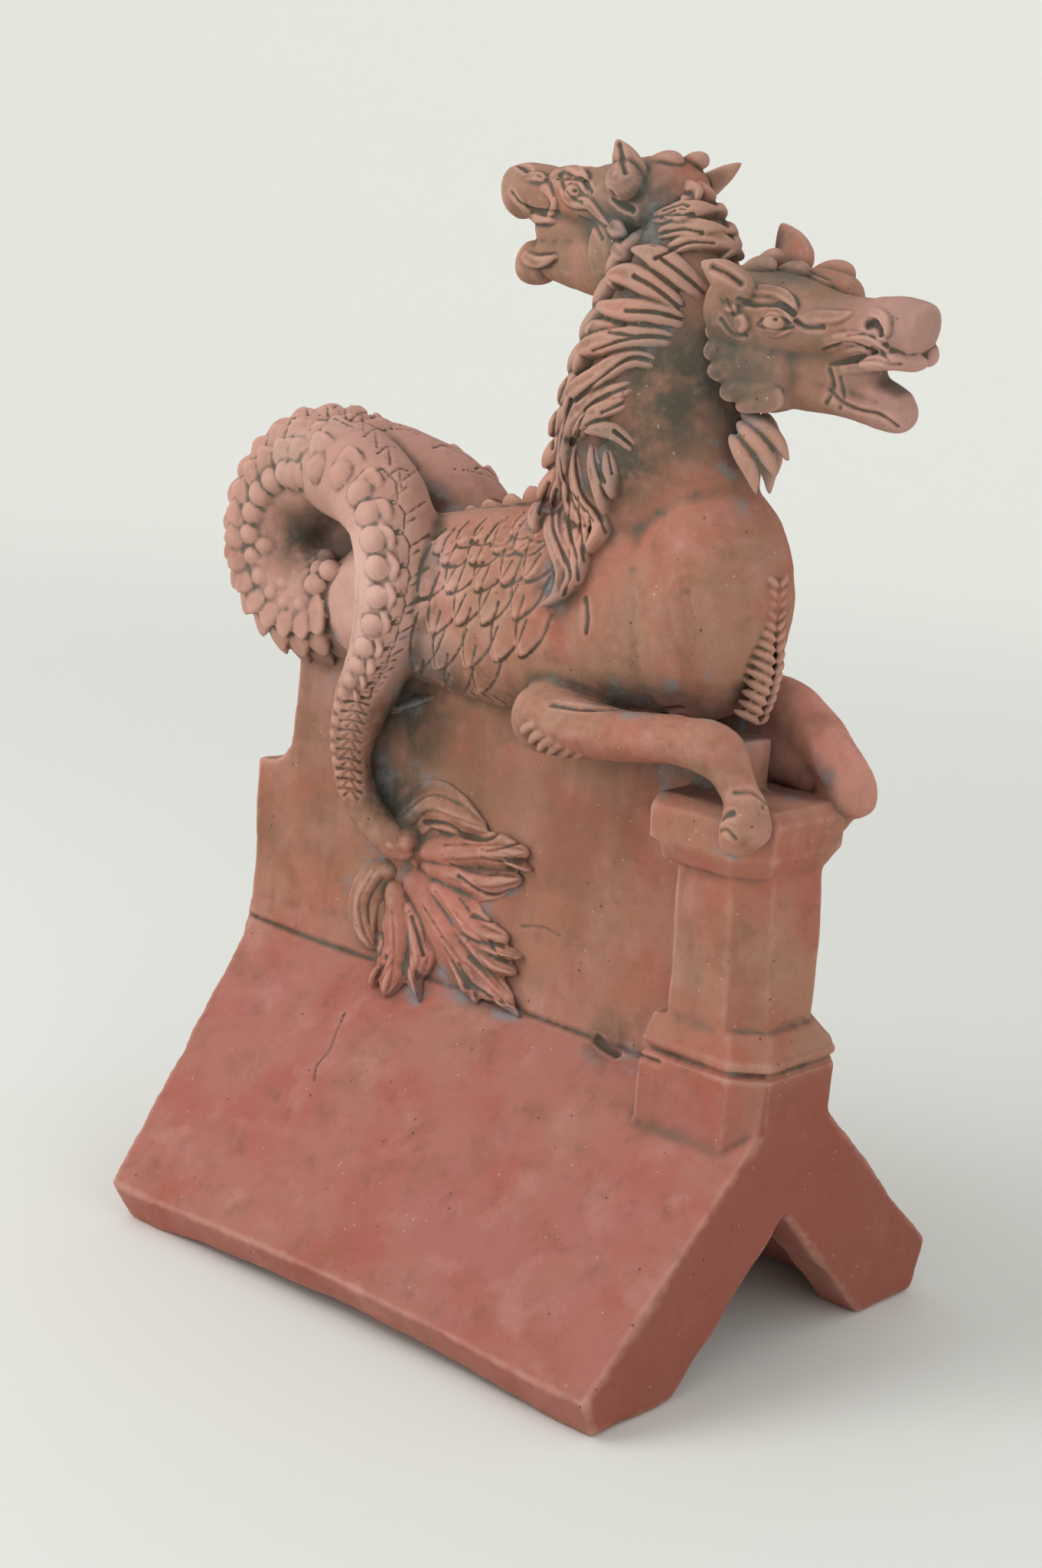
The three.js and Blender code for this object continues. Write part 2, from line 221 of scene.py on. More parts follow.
class Skin:
    """The surface of an object, which details are laid on."""

    def __init__(self, made):
        deselect()
        self.tree = BVHTree.FromObject(made, bpy.context.evaluated_depsgraph_get())

    def press(self, x, z, plane):
        """Where the line of sight through (x, plane, z) meets the skin, and the normal there."""
        through = Vector((x, plane, z)) - EYE
        hit, normal, _, _ = self.tree.ray_cast(EYE, through.normalized())
        if hit is None:
            hit, normal, _, _ = self.tree.find_nearest(Vector((x, plane, z)))
        return np.array(hit), np.array(normal)

    def line(self, path, plane, step=1.0):
        """A line drawn on the skin through x, z places, as closely spaced points."""
        length = sum(math.dist(a[:2], b[:2]) for a, b in zip(path, path[1:]))
        places = np.linspace(0, len(path) - 1, max(3, int(length / step)))
        seen = smooth_between([p[:2] for p in path], places)
        return np.array([self.press(x, z, plane)[0] for x, z in seen])


# ---- finishing tools ---------------------------------------------------------------------

def pick_out(made):
    """Selects one object and makes it the active one."""
    deselect()
    made.select_set(True)
    bpy.context.view_layer.objects.active = made


def apply_modifier(made, kind, **settings):
    pick_out(made)
    modifier = made.modifiers.new(kind, kind)
    for name, value in settings.items():
        setattr(modifier, name, value)
    bpy.ops.object.modifier_apply(modifier=modifier.name)


def one_skin(made, voxel, smoothing):
    """Fuses overlapping lumps into one closed skin, then rubs it down."""
    apply_modifier(made, "REMESH", mode="VOXEL", voxel_size=voxel * COARSE)
    if smoothing:
        apply_modifier(made, "SMOOTH", factor=0.5, iterations=smoothing)


def knead(made, size, depth):
    """The slight unevenness of a surface that was shaped by hand."""
    texture = bpy.data.textures.new("kneading", "CLOUDS")
    texture.noise_scale = size
    texture.noise_depth = 1
    apply_modifier(made, "DISPLACE", texture=texture, strength=depth, mid_level=0.5, texture_coords="LOCAL")


def point_array(made, layer="co"):
    values = np.empty(len(made.data.vertices) * 3)
    made.data.vertices.foreach_get(layer, values)
    return values.reshape(-1, 3)


def normal_array(made):
    return point_array(made, "normal")


def edge_array(made):
    edges = np.empty(len(made.data.edges) * 2, dtype=np.int64)
    made.data.edges.foreach_get("vertices", edges)
    return edges.reshape(-1, 2)


def point_tree(points):
    tree = KDTree(len(points))
    for index, point in enumerate(points):
        tree.insert(point, index)
    tree.balance()
    return tree


def write_readings(made, label, values):
    """Stores one number per point, which the material reads by its label."""
    attribute = made.data.attributes.new(label, "FLOAT", "POINT")
    attribute.data.foreach_set("value", values.astype(np.float32))


def set_points(made, points):
    made.data.vertices.foreach_set("co", points.ravel())
    made.data.update()


def carve(made, strokes, flip=None):
    """Tool marks. A stroke is a line of points, a radius and a depth; a minus depth raises a welt."""
    points = point_array(made)
    tree = point_tree(points)
    cut = np.zeros(len(points))
    raised = np.zeros(len(points))
    for line, radius, depth in strokes:
        for shape in (line,) if flip is None else (line, flip(line)):
            for spot in shape:
                for _, index, distance in tree.find_range(spot, radius):
                    fall = 1 - distance / radius
                    if depth > 0:
                        cut[index] = max(cut[index], depth * fall)
                    else:
                        raised[index] = max(raised[index], -depth * fall * fall * (3 - 2 * fall))
    set_points(made, points + normal_array(made) * (raised - cut)[:, None])


def neighbour_pull(points, edges, share):
    """Each point moved towards the middle of its neighbours."""
    total = np.zeros_like(points)
    for axis in range(points.shape[1]):
        total[:, axis] = np.bincount(edges[:, 0], points[edges[:, 1], axis], len(points))
        total[:, axis] += np.bincount(edges[:, 1], points[edges[:, 0], axis], len(points))
    neighbours = np.bincount(edges.ravel(), minlength=len(points))
    return points + share * (total / np.maximum(1, neighbours)[:, None] - points)


FINE_HOLLOW = 3.0
WIDE_HOLLOW = 11.0
PULL = 0.9                      # how far a point goes towards its neighbours in one smoothing


def hollows(made, voxel):
    """How far each point lies below its surroundings, in mm, close up and further out."""
    points = point_array(made)
    normals = normal_array(made)
    edges = edge_array(made)
    smooth = points
    readings = []
    for size in (FINE_HOLLOW, WIDE_HOLLOW):
        for _ in range(int((size / (voxel * COARSE)) ** 2) + 1):
            smooth = neighbour_pull(smooth, edges, PULL)
        readings.append(np.einsum("ij,ij->i", smooth - points, normals))
    return readings


def to_piece(made, name, voxel, dirt=1.0):
    """Thins the mesh, writes its hollows for the dirt to settle in, and puts it in the frame."""
    fine, wide = (dirt * reading for reading in hollows(made, voxel))
    source = point_array(made)
    count = sum(len(f.vertices) - 2 for f in made.data.polygons)
    if count > TRIANGLE_LIMIT:
        apply_modifier(made, "DECIMATE", ratio=TRIANGLE_LIMIT / count)
        made.data.validate()        # drops the few folded faces that thinning leaves
    tree = point_tree(source)
    points = point_array(made)
    nearest = [tree.find(point)[1] for point in points]
    write_readings(made, "hollow_fine", fine[nearest])
    write_readings(made, "hollow_wide", wide[nearest])
    low = (np.array(cad_low) * 1000 - FRAME_SHIFT) + CAD_CLEARANCE
    high = (np.array(cad_high) * 1000 - FRAME_SHIFT) - CAD_CLEARANCE
    set_points(made, (np.clip(points, low, high) + FRAME_SHIFT) / 1000)
    pick_out(made)
    bpy.ops.object.shade_smooth()
    made.name = made.data.name = name
    return made


SHELTER_CELL = 0.0075           # one reading is taken for each cell of this size, in metres
SHELTER_REACH = 0.14
SHELTER_NEAR = 0.03
RAY_START = 0.003               # rays start this far off the clay
SKY_RAYS = 28
FAINTEST_RAY = 0.12


def write_shelter(pieces):
    """Writes how shut in each point is, close by and further off, from rays over the whole casting."""
    vertices = []
    polygons = []
    starts = []
    for piece in pieces:
        offset = len(vertices)
        starts.append(offset)
        vertices += point_array(piece).tolist()
        polygons += [[i + offset for i in face.vertices] for face in piece.data.polygons]
    tree = BVHTree.FromPolygons(vertices, polygons)
    points = np.array(vertices)
    normals = np.vstack([normal_array(piece) for piece in pieces])
    keys = np.column_stack([np.floor(points / SHELTER_CELL), normals > 0]).astype(int)
    _, cell = np.unique(keys, axis=0, return_inverse=True)
    cell = cell.ravel()
    count = np.bincount(cell)[:, None]
    middle = np.column_stack([np.bincount(cell, points[:, k]) for k in range(3)]) / count
    facing = np.column_stack([np.bincount(cell, normals[:, k]) for k in range(3)])
    facing /= np.linalg.norm(facing, axis=1)[:, None] + 1e-9
    turns = np.arange(SKY_RAYS) + 0.5
    level = 1 - 2 * turns / SKY_RAYS
    around = turns * math.pi * (3 - math.sqrt(5))
    flat = np.sqrt(1 - level ** 2)
    sky = np.column_stack([flat * np.cos(around), flat * np.sin(around), level])
    weights = np.maximum(0, facing @ sky.T)
    shut = np.zeros((len(middle), 2))
    for index, (spot, normal, row) in enumerate(zip(middle, facing, weights)):
        start = Vector(spot + normal * RAY_START)
        for direction, weight in zip(sky, row):
            if weight < FAINTEST_RAY:
                continue
            distance = tree.ray_cast(start, Vector(direction), SHELTER_REACH)[3]
            if distance is not None:
                shut[index] += (weight * (distance < SHELTER_NEAR), weight * (1 - distance / SHELTER_REACH))
    shut /= np.where(weights < FAINTEST_RAY, 0, weights).sum(axis=1)[:, None] + 1e-9
    for piece, start in zip(pieces, starts):
        edges = edge_array(piece)
        reading = shut[cell[start:start + len(piece.data.vertices)]]
        for _ in range(14):
            reading = neighbour_pull(reading, edges, PULL)
        write_readings(piece, "shelter_near", reading[:, 0])
        write_readings(piece, "shelter_far", reading[:, 1])


def over_ridge(points):
    """The mirror image on the other side of the ridge."""
    return points * np.array([1.0, -1.0, 1.0])


# ---- the saddle tile, the web and the pier -------------------------------------------------

SLOPE = 0.89                    # rise over run of a slope
EDGE_HEIGHT = 25.0
RIDGE_HEIGHT = EDGE_HEIGHT + NEAR_HALF_WIDTH * SLOPE
FAR_HALF_WIDTH = 178.0
TILE_LENGTH = 500.0
FOOT_INSET = 12.0
BACK_SKEW = 72.0                # how far the back end leans in at the feet
FRAME_DEPTH = 34.0
FRAME_HALF_OPENING = 103.0
FRAME_APEX = 96.0
WALL = 42.0
WEB_HALF = 15.0
WEB_TOP = 398.0
EDGE_ARCH = 9.0                 # how far the long edges arch clear of the ground
PIER_CHAMFER = 19.0
PIER_MIDDLE = -40.0
PIER = [
    # front, back, half width, bottom, top, growth of the top at the front and at the sides
    (-11, -80, 42, 150, 326, -8, 4), (0, -90, 54, 130, 195, 0, 0), (-4, -87, 50, 190, 206, 0, 0),
    (0, -90, 54, 200, 206, 0, 0), (-1, -90, 53, 206, 220, -9, -9), (-19, -90, 50, 322, 335, 6, 6),
    (-13, -98, 56, 334, 356, 0, 0), (-13, -98, 56, 356, 364, -7, -7),
]


def block_between(clay, lower, upper):
    """A closed block between two outlines of as many points each."""
    count = len(lower)
    faces = [tuple(range(count)), tuple(range(2 * count - 1, count - 1, -1))]
    faces += [(i, (i + 1) % count, count + (i + 1) % count, count + i) for i in range(count)]
    clay.add(np.vstack([lower, upper]), faces)


def outline_at(outline, place, order=(0, 1, 2)):
    """A flat outline at a place on the axis that it is drawn along."""
    return np.column_stack([outline, np.full(len(outline), place)])[:, order]


def prism(clay, outline, start, end, axis):
    """A flat outline drawn through the clay, along the ridge (x) or across it (y)."""
    outline = np.asarray(outline, float)
    order = {"x": (2, 0, 1), "y": (0, 2, 1)}[axis]
    block_between(clay, outline_at(outline, start, order), outline_at(outline, end, order))


def cut_out(made, outline, start, end, axis):
    """Cuts a prism out of an object."""
    clay = Clay()
    prism(clay, outline, start, end, axis)
    tool = clay.pressed("tool")
    apply_modifier(made, "BOOLEAN", operation="DIFFERENCE", object=tool, solver="EXACT")
    bpy.data.meshes.remove(tool.data)


def pier_block(clay, front, back, half_width, bottom, top, grow_front, grow_side):
    """A block of the pier with chamfered front corners. Its top may grow or shrink."""
    corner = half_width - PIER_CHAMFER
    shoulder = front - PIER_CHAMFER
    plan = np.array([(back, -half_width), (shoulder, -half_width), (front, -corner),
                     (front, corner), (shoulder, half_width), (back, half_width)], float)
    upper = plan.copy()
    upper[:, 0] += np.where(plan[:, 0] > PIER_MIDDLE, grow_front, 0)
    upper[:, 1] += grow_side * np.sign(plan[:, 1])
    block_between(clay, outline_at(plan, bottom), outline_at(upper, top))


def saddle_tile():
    """The tile as a saddle between two thick end frames, with the web and the pier on its ridge."""
    far_edge = RIDGE_HEIGHT - FAR_HALF_WIDTH * SLOPE
    body = Clay()
    prism(body, [(-NEAR_HALF_WIDTH, EDGE_HEIGHT), (FOOT_INSET - NEAR_HALF_WIDTH, 0),
                 (FAR_HALF_WIDTH - FOOT_INSET, 0), (FAR_HALF_WIDTH, far_edge), (0, RIDGE_HEIGHT)],
          -TILE_LENGTH, 0, "x")
    tile = body.pressed("tile")
    cut_out(tile, [(-FRAME_HALF_OPENING, -10), (FRAME_HALF_OPENING, -10), (FRAME_HALF_OPENING, 0),
                   (0, FRAME_APEX), (-FRAME_HALF_OPENING, 0)], -TILE_LENGTH - 10, 10, "x")
    near_in = NEAR_HALF_WIDTH - FOOT_INSET - WALL
    far_in = FAR_HALF_WIDTH - FOOT_INSET - WALL
    cut_out(tile, [(-near_in, -10), (far_in, -10), (far_in, 0), (0, far_in * SLOPE),
                   (far_in - near_in, far_in * SLOPE), (-near_in, 0)],
            -TILE_LENGTH + BACK_SKEW + FRAME_DEPTH, -FRAME_DEPTH, "x")
    cut_out(tile, [(-TILE_LENGTH - 30, -1), (-TILE_LENGTH + BACK_SKEW, -1), (-TILE_LENGTH, RIDGE_HEIGHT),
                   (-TILE_LENGTH, RIDGE_HEIGHT + 30), (-TILE_LENGTH - 30, RIDGE_HEIGHT + 30)], -300, 300, "y")
    bow_under_edges(tile)

    raised = Clay()
    foot = RIDGE_HEIGHT - 22
    web = [(-TILE_LENGTH + 3, foot), (-60, foot), (-60, WEB_TOP), (-462, WEB_TOP), (-464, 352)]
    web += [(-490 + 24 * math.cos(a), 324 - 24 * math.sin(a)) for a in np.radians([0, 22, 45, 68, 90])]
    web += [(-TILE_LENGTH, 300)]
    prism(raised, web, -WEB_HALF, WEB_HALF, "y")
    for block in PIER:
        pier_block(raised, *block)
    fillet = [(-24, -24), (24, -24), (WEB_HALF, 18), (-WEB_HALF, 18)]
    prism(raised, [(y, z + RIDGE_HEIGHT - 16) for y, z in fillet], -TILE_LENGTH + 3, -80, "x")
    add_on = raised.pressed("web")
    pick_out(tile)
    add_on.select_set(True)
    bpy.ops.object.join()
    return tile


def bow_under_edges(tile):
    """The long edges arch a little clear of the ground, slope edge and all."""
    apply_modifier(tile, "REMESH", mode="VOXEL", voxel_size=2.8)
    points = point_array(tile)
    front, back = -FRAME_DEPTH, -TILE_LENGTH + BACK_SKEW + FRAME_DEPTH
    share = np.clip((points[:, 0] - back) / (front - back), 0, 1)
    arch = np.sin(share * math.pi)
    edge = np.clip((60 - points[:, 2]) / 60, 0, 1)
    points[:, 2] += EDGE_ARCH * arch * edge * (np.abs(points[:, 1]) > 100)
    set_points(tile, points)


tile = saddle_tile()
one_skin(tile, TILE_VOXEL, 9)
knead(tile, 55, 3.2)
knead(tile, 14, 1.1)
tile_skin = Skin(tile)
TILE_MARKS = [
    # path as seen, plane it is read on, radius, depth
    ([(-348, 150), (-355, 134), (-361, 118), (-372, 104), (-374, 92)], -60, 2.0, 0.8),
    ([(-152, 178), (-144, 175), (-134, 173)], -20, 4.5, 4.0),
    ([(-496, 180), (-420, 178), (-300, 179), (-180, 178), (-100, 177)], -19, 3.6, 1.5),
    ([(-230, 236), (-212, 240), (-196, 238)], -15, 2.4, 0.8),
    ([(-420, 322), (-421, 320)], -15, 3.2, 2.4),
]
carve(tile, [(tile_skin.line(path, plane), radius, depth) for path, plane, radius, depth in TILE_MARKS])
ridge_tile = to_piece(tile, "saddle_ridge_tile", TILE_VOXEL)

# ---- the beast's body ----------------------------------------------------------------------

RING_X, RING_Z = -452.0, 471.0
RING_RADIUS = 49.0
TAIL_THICK = 41.0

TRUNK = [
    (-112, 0, 470, 48, 60), (-140, 0, 470, 56, 70), (-190, 0, 462, 57, 74), (-250, 0, 450, 54, 72),
    (-320, 0, 444, 49, 64), (-390, 0, 432, 45, 50), (-440, 0, 424, 42, 43),
]
NECK = [
    (-140, 0, 500, 46, 56), (-154, 0, 548, 48, 68), (-158, 0, 592, 45, 66), (-158, 0, 634, 40, 58),
    (-160, 3, 674, 34, 44), (-168, 5, 704, 28, 33), (-180, 6, 728, 20, 24),
]
STRAND = [
    (-462, 0, 519, 36, 38), (-412, -20, 521, 34, 35), (-358, -40, 500, 31, 31), (-342, -48, 455, 28, 26),
    (-350, -46, 408, 24, 23), (-378, -36, 360, 19, 21), (-388, -31, 328, 15, 15), (-380, -30, 300, 14, 14),
    (-356, -28, 278, 13, 13), (-326, -24, 262, 10, 12),
]
NEAR_FORELEG = [
    (-222, -44, 392, 20, 25), (-182, -52, 391, 23, 22), (-130, -54, 393, 21, 17), (-84, -54, 399, 19, 16),
    (-54, -52, 397, 18, 18), (-37, -50, 378, 13, 12), (-28, -49, 361, 15, 15), (-27, -49, 342, 17, 18),
]
FAR_FORELEG = [
    (-222, 44, 392, 20, 24), (-170, 50, 396, 24, 24), (-116, 50, 405, 22, 23), (-80, 48, 411, 21, 22),
    (-50, 46, 400, 18, 19), (-30, 45, 384, 17, 18), (-18, 44, 369, 18, 19), (-19, 44, 352, 17, 17),
]


def on_ring(degrees, round_tube, reach=1.0):
    """A place on the ring of the tail. round_tube is 0 outermost and 90 towards the near side."""
    a = math.radians(degrees)
    t = math.radians(round_tube)
    out = RING_RADIUS + TAIL_THICK * reach * math.cos(t)
    across = -TAIL_THICK * reach * math.sin(t)
    return np.array([RING_X + out * math.cos(a), across, RING_Z + out * math.sin(a)])


def body_form():
    clay = Clay()
    clay.limb(TRUNK, 36, 40)
    clay.ball((-112, 0, 480), (56, 55, 80), around=32, along=24)
    clay.limb(NECK, 32, 36)
    ring = [(-400, 0, 424, 43, 42)]
    for degrees in (-95, -120, -144, -168, -192, -216, -240, -264, -288):
        a = math.radians(degrees)
        ring.append((RING_X + RING_RADIUS * math.cos(a), 0, RING_Z + RING_RADIUS * math.sin(a),
                     TAIL_THICK, TAIL_THICK))
    clay.limb(ring, 32, 60, 0.08)
    clay.ball((RING_X, 0, RING_Z), (26, 5, 26))
    clay.limb(STRAND, 24, 60, 0.08)
    clay.limb([(x, -y, z, wide, high) for x, y, z, wide, high in STRAND], 24, 60, 0.08)
    clay.limb(NEAR_FORELEG, 24, 40, 0.1)
    clay.limb(FAR_FORELEG, 24, 40, 0.1)
    clay.limb([(-128, 38, 392, 18, 26), (-92, 42, 388, 18, 24), (-60, 44, 380, 16, 18),
               (-36, 44, 370, 14, 12)], 20, 24)
    for y in (-49, 44):
        clay.limb([(-26, y, 366, 17, 16), (-34, y, 348, 16, 15), (-47, y, 342, 9, 9)], 16, 16, 0.3)
    return clay


BEADS = [
    # centre as seen, radius: a row down the inner edge of the strand
    (-466, 514, 12), (-443, 522, 11.5), (-419, 520, 11.5), (-400, 510, 11), (-391, 497, 10),
    (-384, 480, 10), (-378, 461, 9.5), (-376, 441, 9), (-379, 421, 8.5), (-384, 404, 8), (-390, 390, 7),
    (-396, 378, 6.5), (-401, 367, 6), (-405, 357, 5.5), (-407, 347, 5), (-408, 337, 5), (-407, 327, 4.5),
    (-404, 318, 4.5), (-400, 309, 4),
]
CRESCENTS = [
    # root, tip as seen, half width: the row behind the beads
    (-484, 508, -500, 524, 12), (-462, 520, -474, 538, 12), (-438, 526, -442, 546, 12),
    (-414, 520, -408, 540, 12), (-470, 532, -484, 544, 11), (-450, 538, -458, 554, 12),
    (-426, 540, -426, 558, 12), (-394, 512, -384, 528, 10),
    (-382, 496, -370, 508, 9.5), (-376, 480, -362, 488, 9), (-370, 462, -355, 466, 8.5),
    (-370, 442, -356, 445, 8), (-372, 423, -359, 425, 7.5), (-376, 405, -364, 406, 7),
    (-382, 391, -370, 391, 6), (-388, 379, -377, 379, 5.5), (-393, 368, -383, 368, 5),
]
FLANK_ROWS = [
    # height of the tips at the shoulder, half width, drop and lean of a scale, pitch along the row
    (508, 8, 16, 20, 17), (498, 12, 24, 24, 22), (478, 14, 44, 26, 24), (453, 14.5, 52, 22, 24),
    (428, 14, 50, 16, 24), (404, 13, 40, 8, 24), (388, 9, 24, 5, 21),
]
SPINE_SCALES = [(-316, 500, 9), (-300, 506, 11), (-281, 512, 12), (-262, 520, 13), (-243, 522, 12)]
STRAND_PLANE = -30
FLANK_PLANE = -50
FLANK_JITTER = 6                # the rows of scales were laid by eye
FLANK_RISE = 0.27               # the rows climb towards the neck
FLANK_BACK = -316
FLANK_BOTTOM = 378
ELBOW_TOP = 418                 # no scales lie on the elbow, which reaches up and back to here
ELBOW_BACK = -246
LEG_PLANE = -45


def jitter(size):
    return size * (chance.random() - 0.5)


def flank_scales(clay, skin):
    """Rows of pointed scales on the flank, lowest row first. Returns where each one lies."""
    laid = []
    for row, (height, width, drop, lean, pitch) in reversed(list(enumerate(FLANK_ROWS))):
        for step in range(7):
            x = -220 - pitch * (step + 0.5 * (row % 2)) + jitter(FLANK_JITTER)
            z = height + FLANK_RISE * (x + 215) + jitter(FLANK_JITTER)
            on_flank = x > FLANK_BACK and z > FLANK_BOTTOM
            if on_flank and (z > ELBOW_TOP or x < ELBOW_BACK):
                clay.flake(skin, (x + lean, z + drop), (x, z), FLANK_PLANE, width, 3.2, over_ridge, 0.5)
                laid.append((x, z, lean, drop, width))
    return laid


def body_details(clay, skin):
    """Everything that is laid on the body. Returns the scales of the flank."""
    for x, z, radius in BEADS:
        centre, normal = skin.press(x, z, STRAND_PLANE)
        radii = (radius * 1.05, radius * 0.8, radius * 0.95)
        clay.ball(centre - normal * radius * 0.32, radii, flip=over_ridge)
    for x0, z0, x1, z1, width in CRESCENTS:
        clay.flake(skin, (x0, z0), (x1, z1), STRAND_PLANE, width, 4.2, flip=over_ridge)
    laid = flank_scales(clay, skin)
    for x, z, size in SPINE_SCALES:
        clay.limb([(x + 8, 0, z - 14, 7, size), (x, 0, z, 6, size * 0.9), (x - 7, 0, z + 12, 4, size * 0.5)],
                  14, 14, 0.35)
    ring_scales(clay)
    leg_hair(clay, skin)
    chest_plates(clay)
    return laid


def ring_scales(clay):
    """Beads, lumps and broad scales in rows round the ring of the tail."""
    for step, size in enumerate((12, 12, 12, 12, 11, 10, 9, 9, 8, 8, 8)):
        degrees = 84 + 20 * step
        for side in (1, -1):
            centre = on_ring(degrees, 94 * side, 0.88)
            clay.ball(centre, (size, size * 0.8, size * 0.9))
    for step in range(16):
        degrees = 196 + 9 * step
        size = 7 + 4 * chance.random()
        for side in (1, -1):
            centre = on_ring(degrees, (110 + 17 * (step % 3)) * side, 0.86)
            clay.ball(centre, (size, size * 0.7, size * 0.8))
    for tube, width, thick, offset in ((6, 15, 3.8, 0), (30, 15, 3.8, 8), (54, 14, 3.8, 0), (76, 13, 3.6, 8)):
        for degrees in range(62 + offset, 296, 16):
            for side in (1, -1) if tube > 10 else (1,):
                root = on_ring(degrees - 4, (tube + 20) * side, 0.9)
                tip = on_ring(degrees + 6, (tube - 14) * side, 1.07)
                out = on_ring(degrees, tube * side) - on_ring(degrees, tube * side, 0.2)
                flat_scale(clay, root, tip - root, out, width, thick)


def flat_scale(clay, root, along, out, width, thick):
    points, faces = sphere_template(14, 12)
    length = np.linalg.norm(along)
    along = along / length
    out = out - along * (out @ along)
    out /= np.linalg.norm(out)
    side = np.cross(along, out)
    reach = points[:, 0]
    shape = root + along * (length * (0.5 + 0.62 * reach))[:, None]
    shape = shape + side * (points[:, 1] * width * (1 - 0.35 * reach))[:, None]
    clay.add(shape + out * (points[:, 2] * thick + 1.5 * reach)[:, None], faces)


def leg_hair(clay, skin):
    """Tufts on the elbow and down the back of the forearm."""
    for x, z in ((-220, 376), (-212, 371), (-204, 368), (-196, 366), (-187, 364), (-178, 363)):
        tuft = [(x + 12, z + 10, 3), (x + 5, z + 5, 3), (x + 1, z, 2)]
        clay.lock(skin, tuft, LEG_PLANE, 2.4, flip=over_ridge)


def chest_plates(clay):
    """Short cross plates down the keel of the chest."""
    for step in range(14):
        down = step / 13
        z = 498 - 88 * down
        x = -56.5 - 4 * math.cos(down * math.pi) - 28 * max(0, down - 0.55) ** 1.2
        for side in (-1, 1):
            plate = [(x - 9, 15 * side, z + 7, 2.2, 2.6), (x, 8 * side, z + 3, 2.6, 3),
                     (x + 2, 0, z - 2, 2.4, 2.8)]
            clay.limb(plate, 10, 12, 0.3, across=(0, 0, 1))


LEAF_LOBES = [
    # path as seen with half widths, plane, thickness: broad lobes of the leaf at the tail's end
    ([(-334, 262, 12), (-338, 286, 18), (-318, 304, 18), (-290, 304, 17), (-258, 298, 8)], -22, 8),
    ([(-326, 268, 14), (-296, 274, 17), (-264, 282, 16), (-238, 288, 13), (-216, 293, 7)], -26, 9),
    ([(-322, 262, 14), (-290, 262, 17), (-262, 262, 15), (-238, 268, 11), (-220, 274, 6)], -26, 7),
    ([(-330, 256, 18), (-302, 240, 26), (-274, 218, 27), (-246, 200, 19), (-212, 188, 8)], -32, 9),
    ([(-306, 252, 14), (-276, 242, 18), (-252, 230, 15), (-222, 232, 8)], -32, 9),
    ([(-290, 236, 12), (-262, 224, 14), (-238, 214, 12), (-212, 210, 6)], -32, 10),
    ([(-334, 250, 18), (-324, 226, 23), (-320, 202, 22), (-322, 180, 16), (-331, 160, 7)], -38, 10),
    ([(-318, 240, 14), (-304, 216, 15), (-298, 198, 13), (-304, 178, 6)], -38, 9),
    ([(-334, 254, 10), (-354, 246, 15), (-366, 224, 15), (-362, 204, 12), (-350, 190, 7)], -30, 9),
    ([(-262, 282, 7), (-238, 284, 6), (-212, 281, 3)], -26, 9),
    ([(-270, 226, 9), (-240, 222, 8), (-208, 222, 3)], -32, 10),
    ([(-262, 206, 9), (-236, 194, 8), (-208, 178, 3)], -32, 9),
    ([(-280, 212, 9), (-262, 196, 8), (-246, 178, 3)], -34, 9),
    ([(-312, 200, 8), (-304, 184, 7), (-296, 166, 3)], -38, 9),
    ([(-326, 196, 8), (-336, 178, 6), (-344, 164, 3)], -38, 9),
]


form = body_form().pressed("body_form")
one_skin(form, FORM_VOXEL, 24)
# the leaf lies on the body and the tile alike, and the tile is in the frame's metres by now
body_and_tile = Clay()
body_and_tile.start_from(form)
tile_faces = [tuple(f.vertices) for f in tile.data.polygons]
body_and_tile.add(point_array(tile) * 1000 - FRAME_SHIFT, tile_faces)
landscape = body_and_tile.pressed("landscape")
landscape_skin = Skin(landscape)

details = Clay()
details.start_from(form)
scales_laid = body_details(details, Skin(form))
for path, plane, thick in LEAF_LOBES:
    details.lock(landscape_skin, path, plane, thick, strands=2, flip=over_ridge)
beast = details.pressed("beast")
for spare in (form, landscape):
    bpy.data.meshes.remove(spare.data)
one_skin(beast, BODY_VOXEL, 2)
knead(beast, 22, 1.6)
knead(beast, 7, 0.5)

beast_skin = Skin(beast)
BODY_MARKS = [
    # path as seen, plane, radius, depth
    ([(-195, 400), (-170, 402), (-140, 407), (-110, 412), (-90, 417)], -45, 3.6, 2.6),
    ([(-91, 490), (-84, 476), (-81, 462), (-84, 448)], -50, 13, 2.0),
    ([(-171, 474), (-168, 463), (-168, 452)], -50, 2.6, 1.6),
    ([(-54, 348), (-46, 358), (-40, 361)], -49, 3.2, 2.6),
    ([(-53, 345), (-44, 350), (-36, 346)], -49, 2.4, 1.4),
    ([(-14, 372), (-26, 377), (-40, 374)], -49, 2.8, 1.2),
    ([(-310, 226), (-302, 214), (-296, 203)], -40, 3.0, 2.6),
    ([(-345, 210), (-341, 200), (-344, 190), (-350, 187)], -34, 3.0, 2.6),
    ([(-268, 202), (-256, 192), (-240, 188), (-226, 186)], -34, 2.6, 1.6),
    ([(-280, 261), (-262, 256), (-244, 256), (-228, 264)], -28, 3.0, 2.4),
    ([(-262, 238), (-250, 238), (-240, 240)], -30, 3.0, 2.2),
    ([(-244, 224), (-236, 216), (-224, 217)], -30, 2.6, 1.6),
    ([(-258, 284), (-244, 290), (-228, 297)], -26, 2.4, 1.4),
    ([(-262, 278), (-244, 280), (-224, 286)], -26, 2.4, 1.4),
    ([(-320, 290), (-300, 293), (-280, 289), (-262, 291), (-250, 300)], -22, 3.0, 2.0),
]
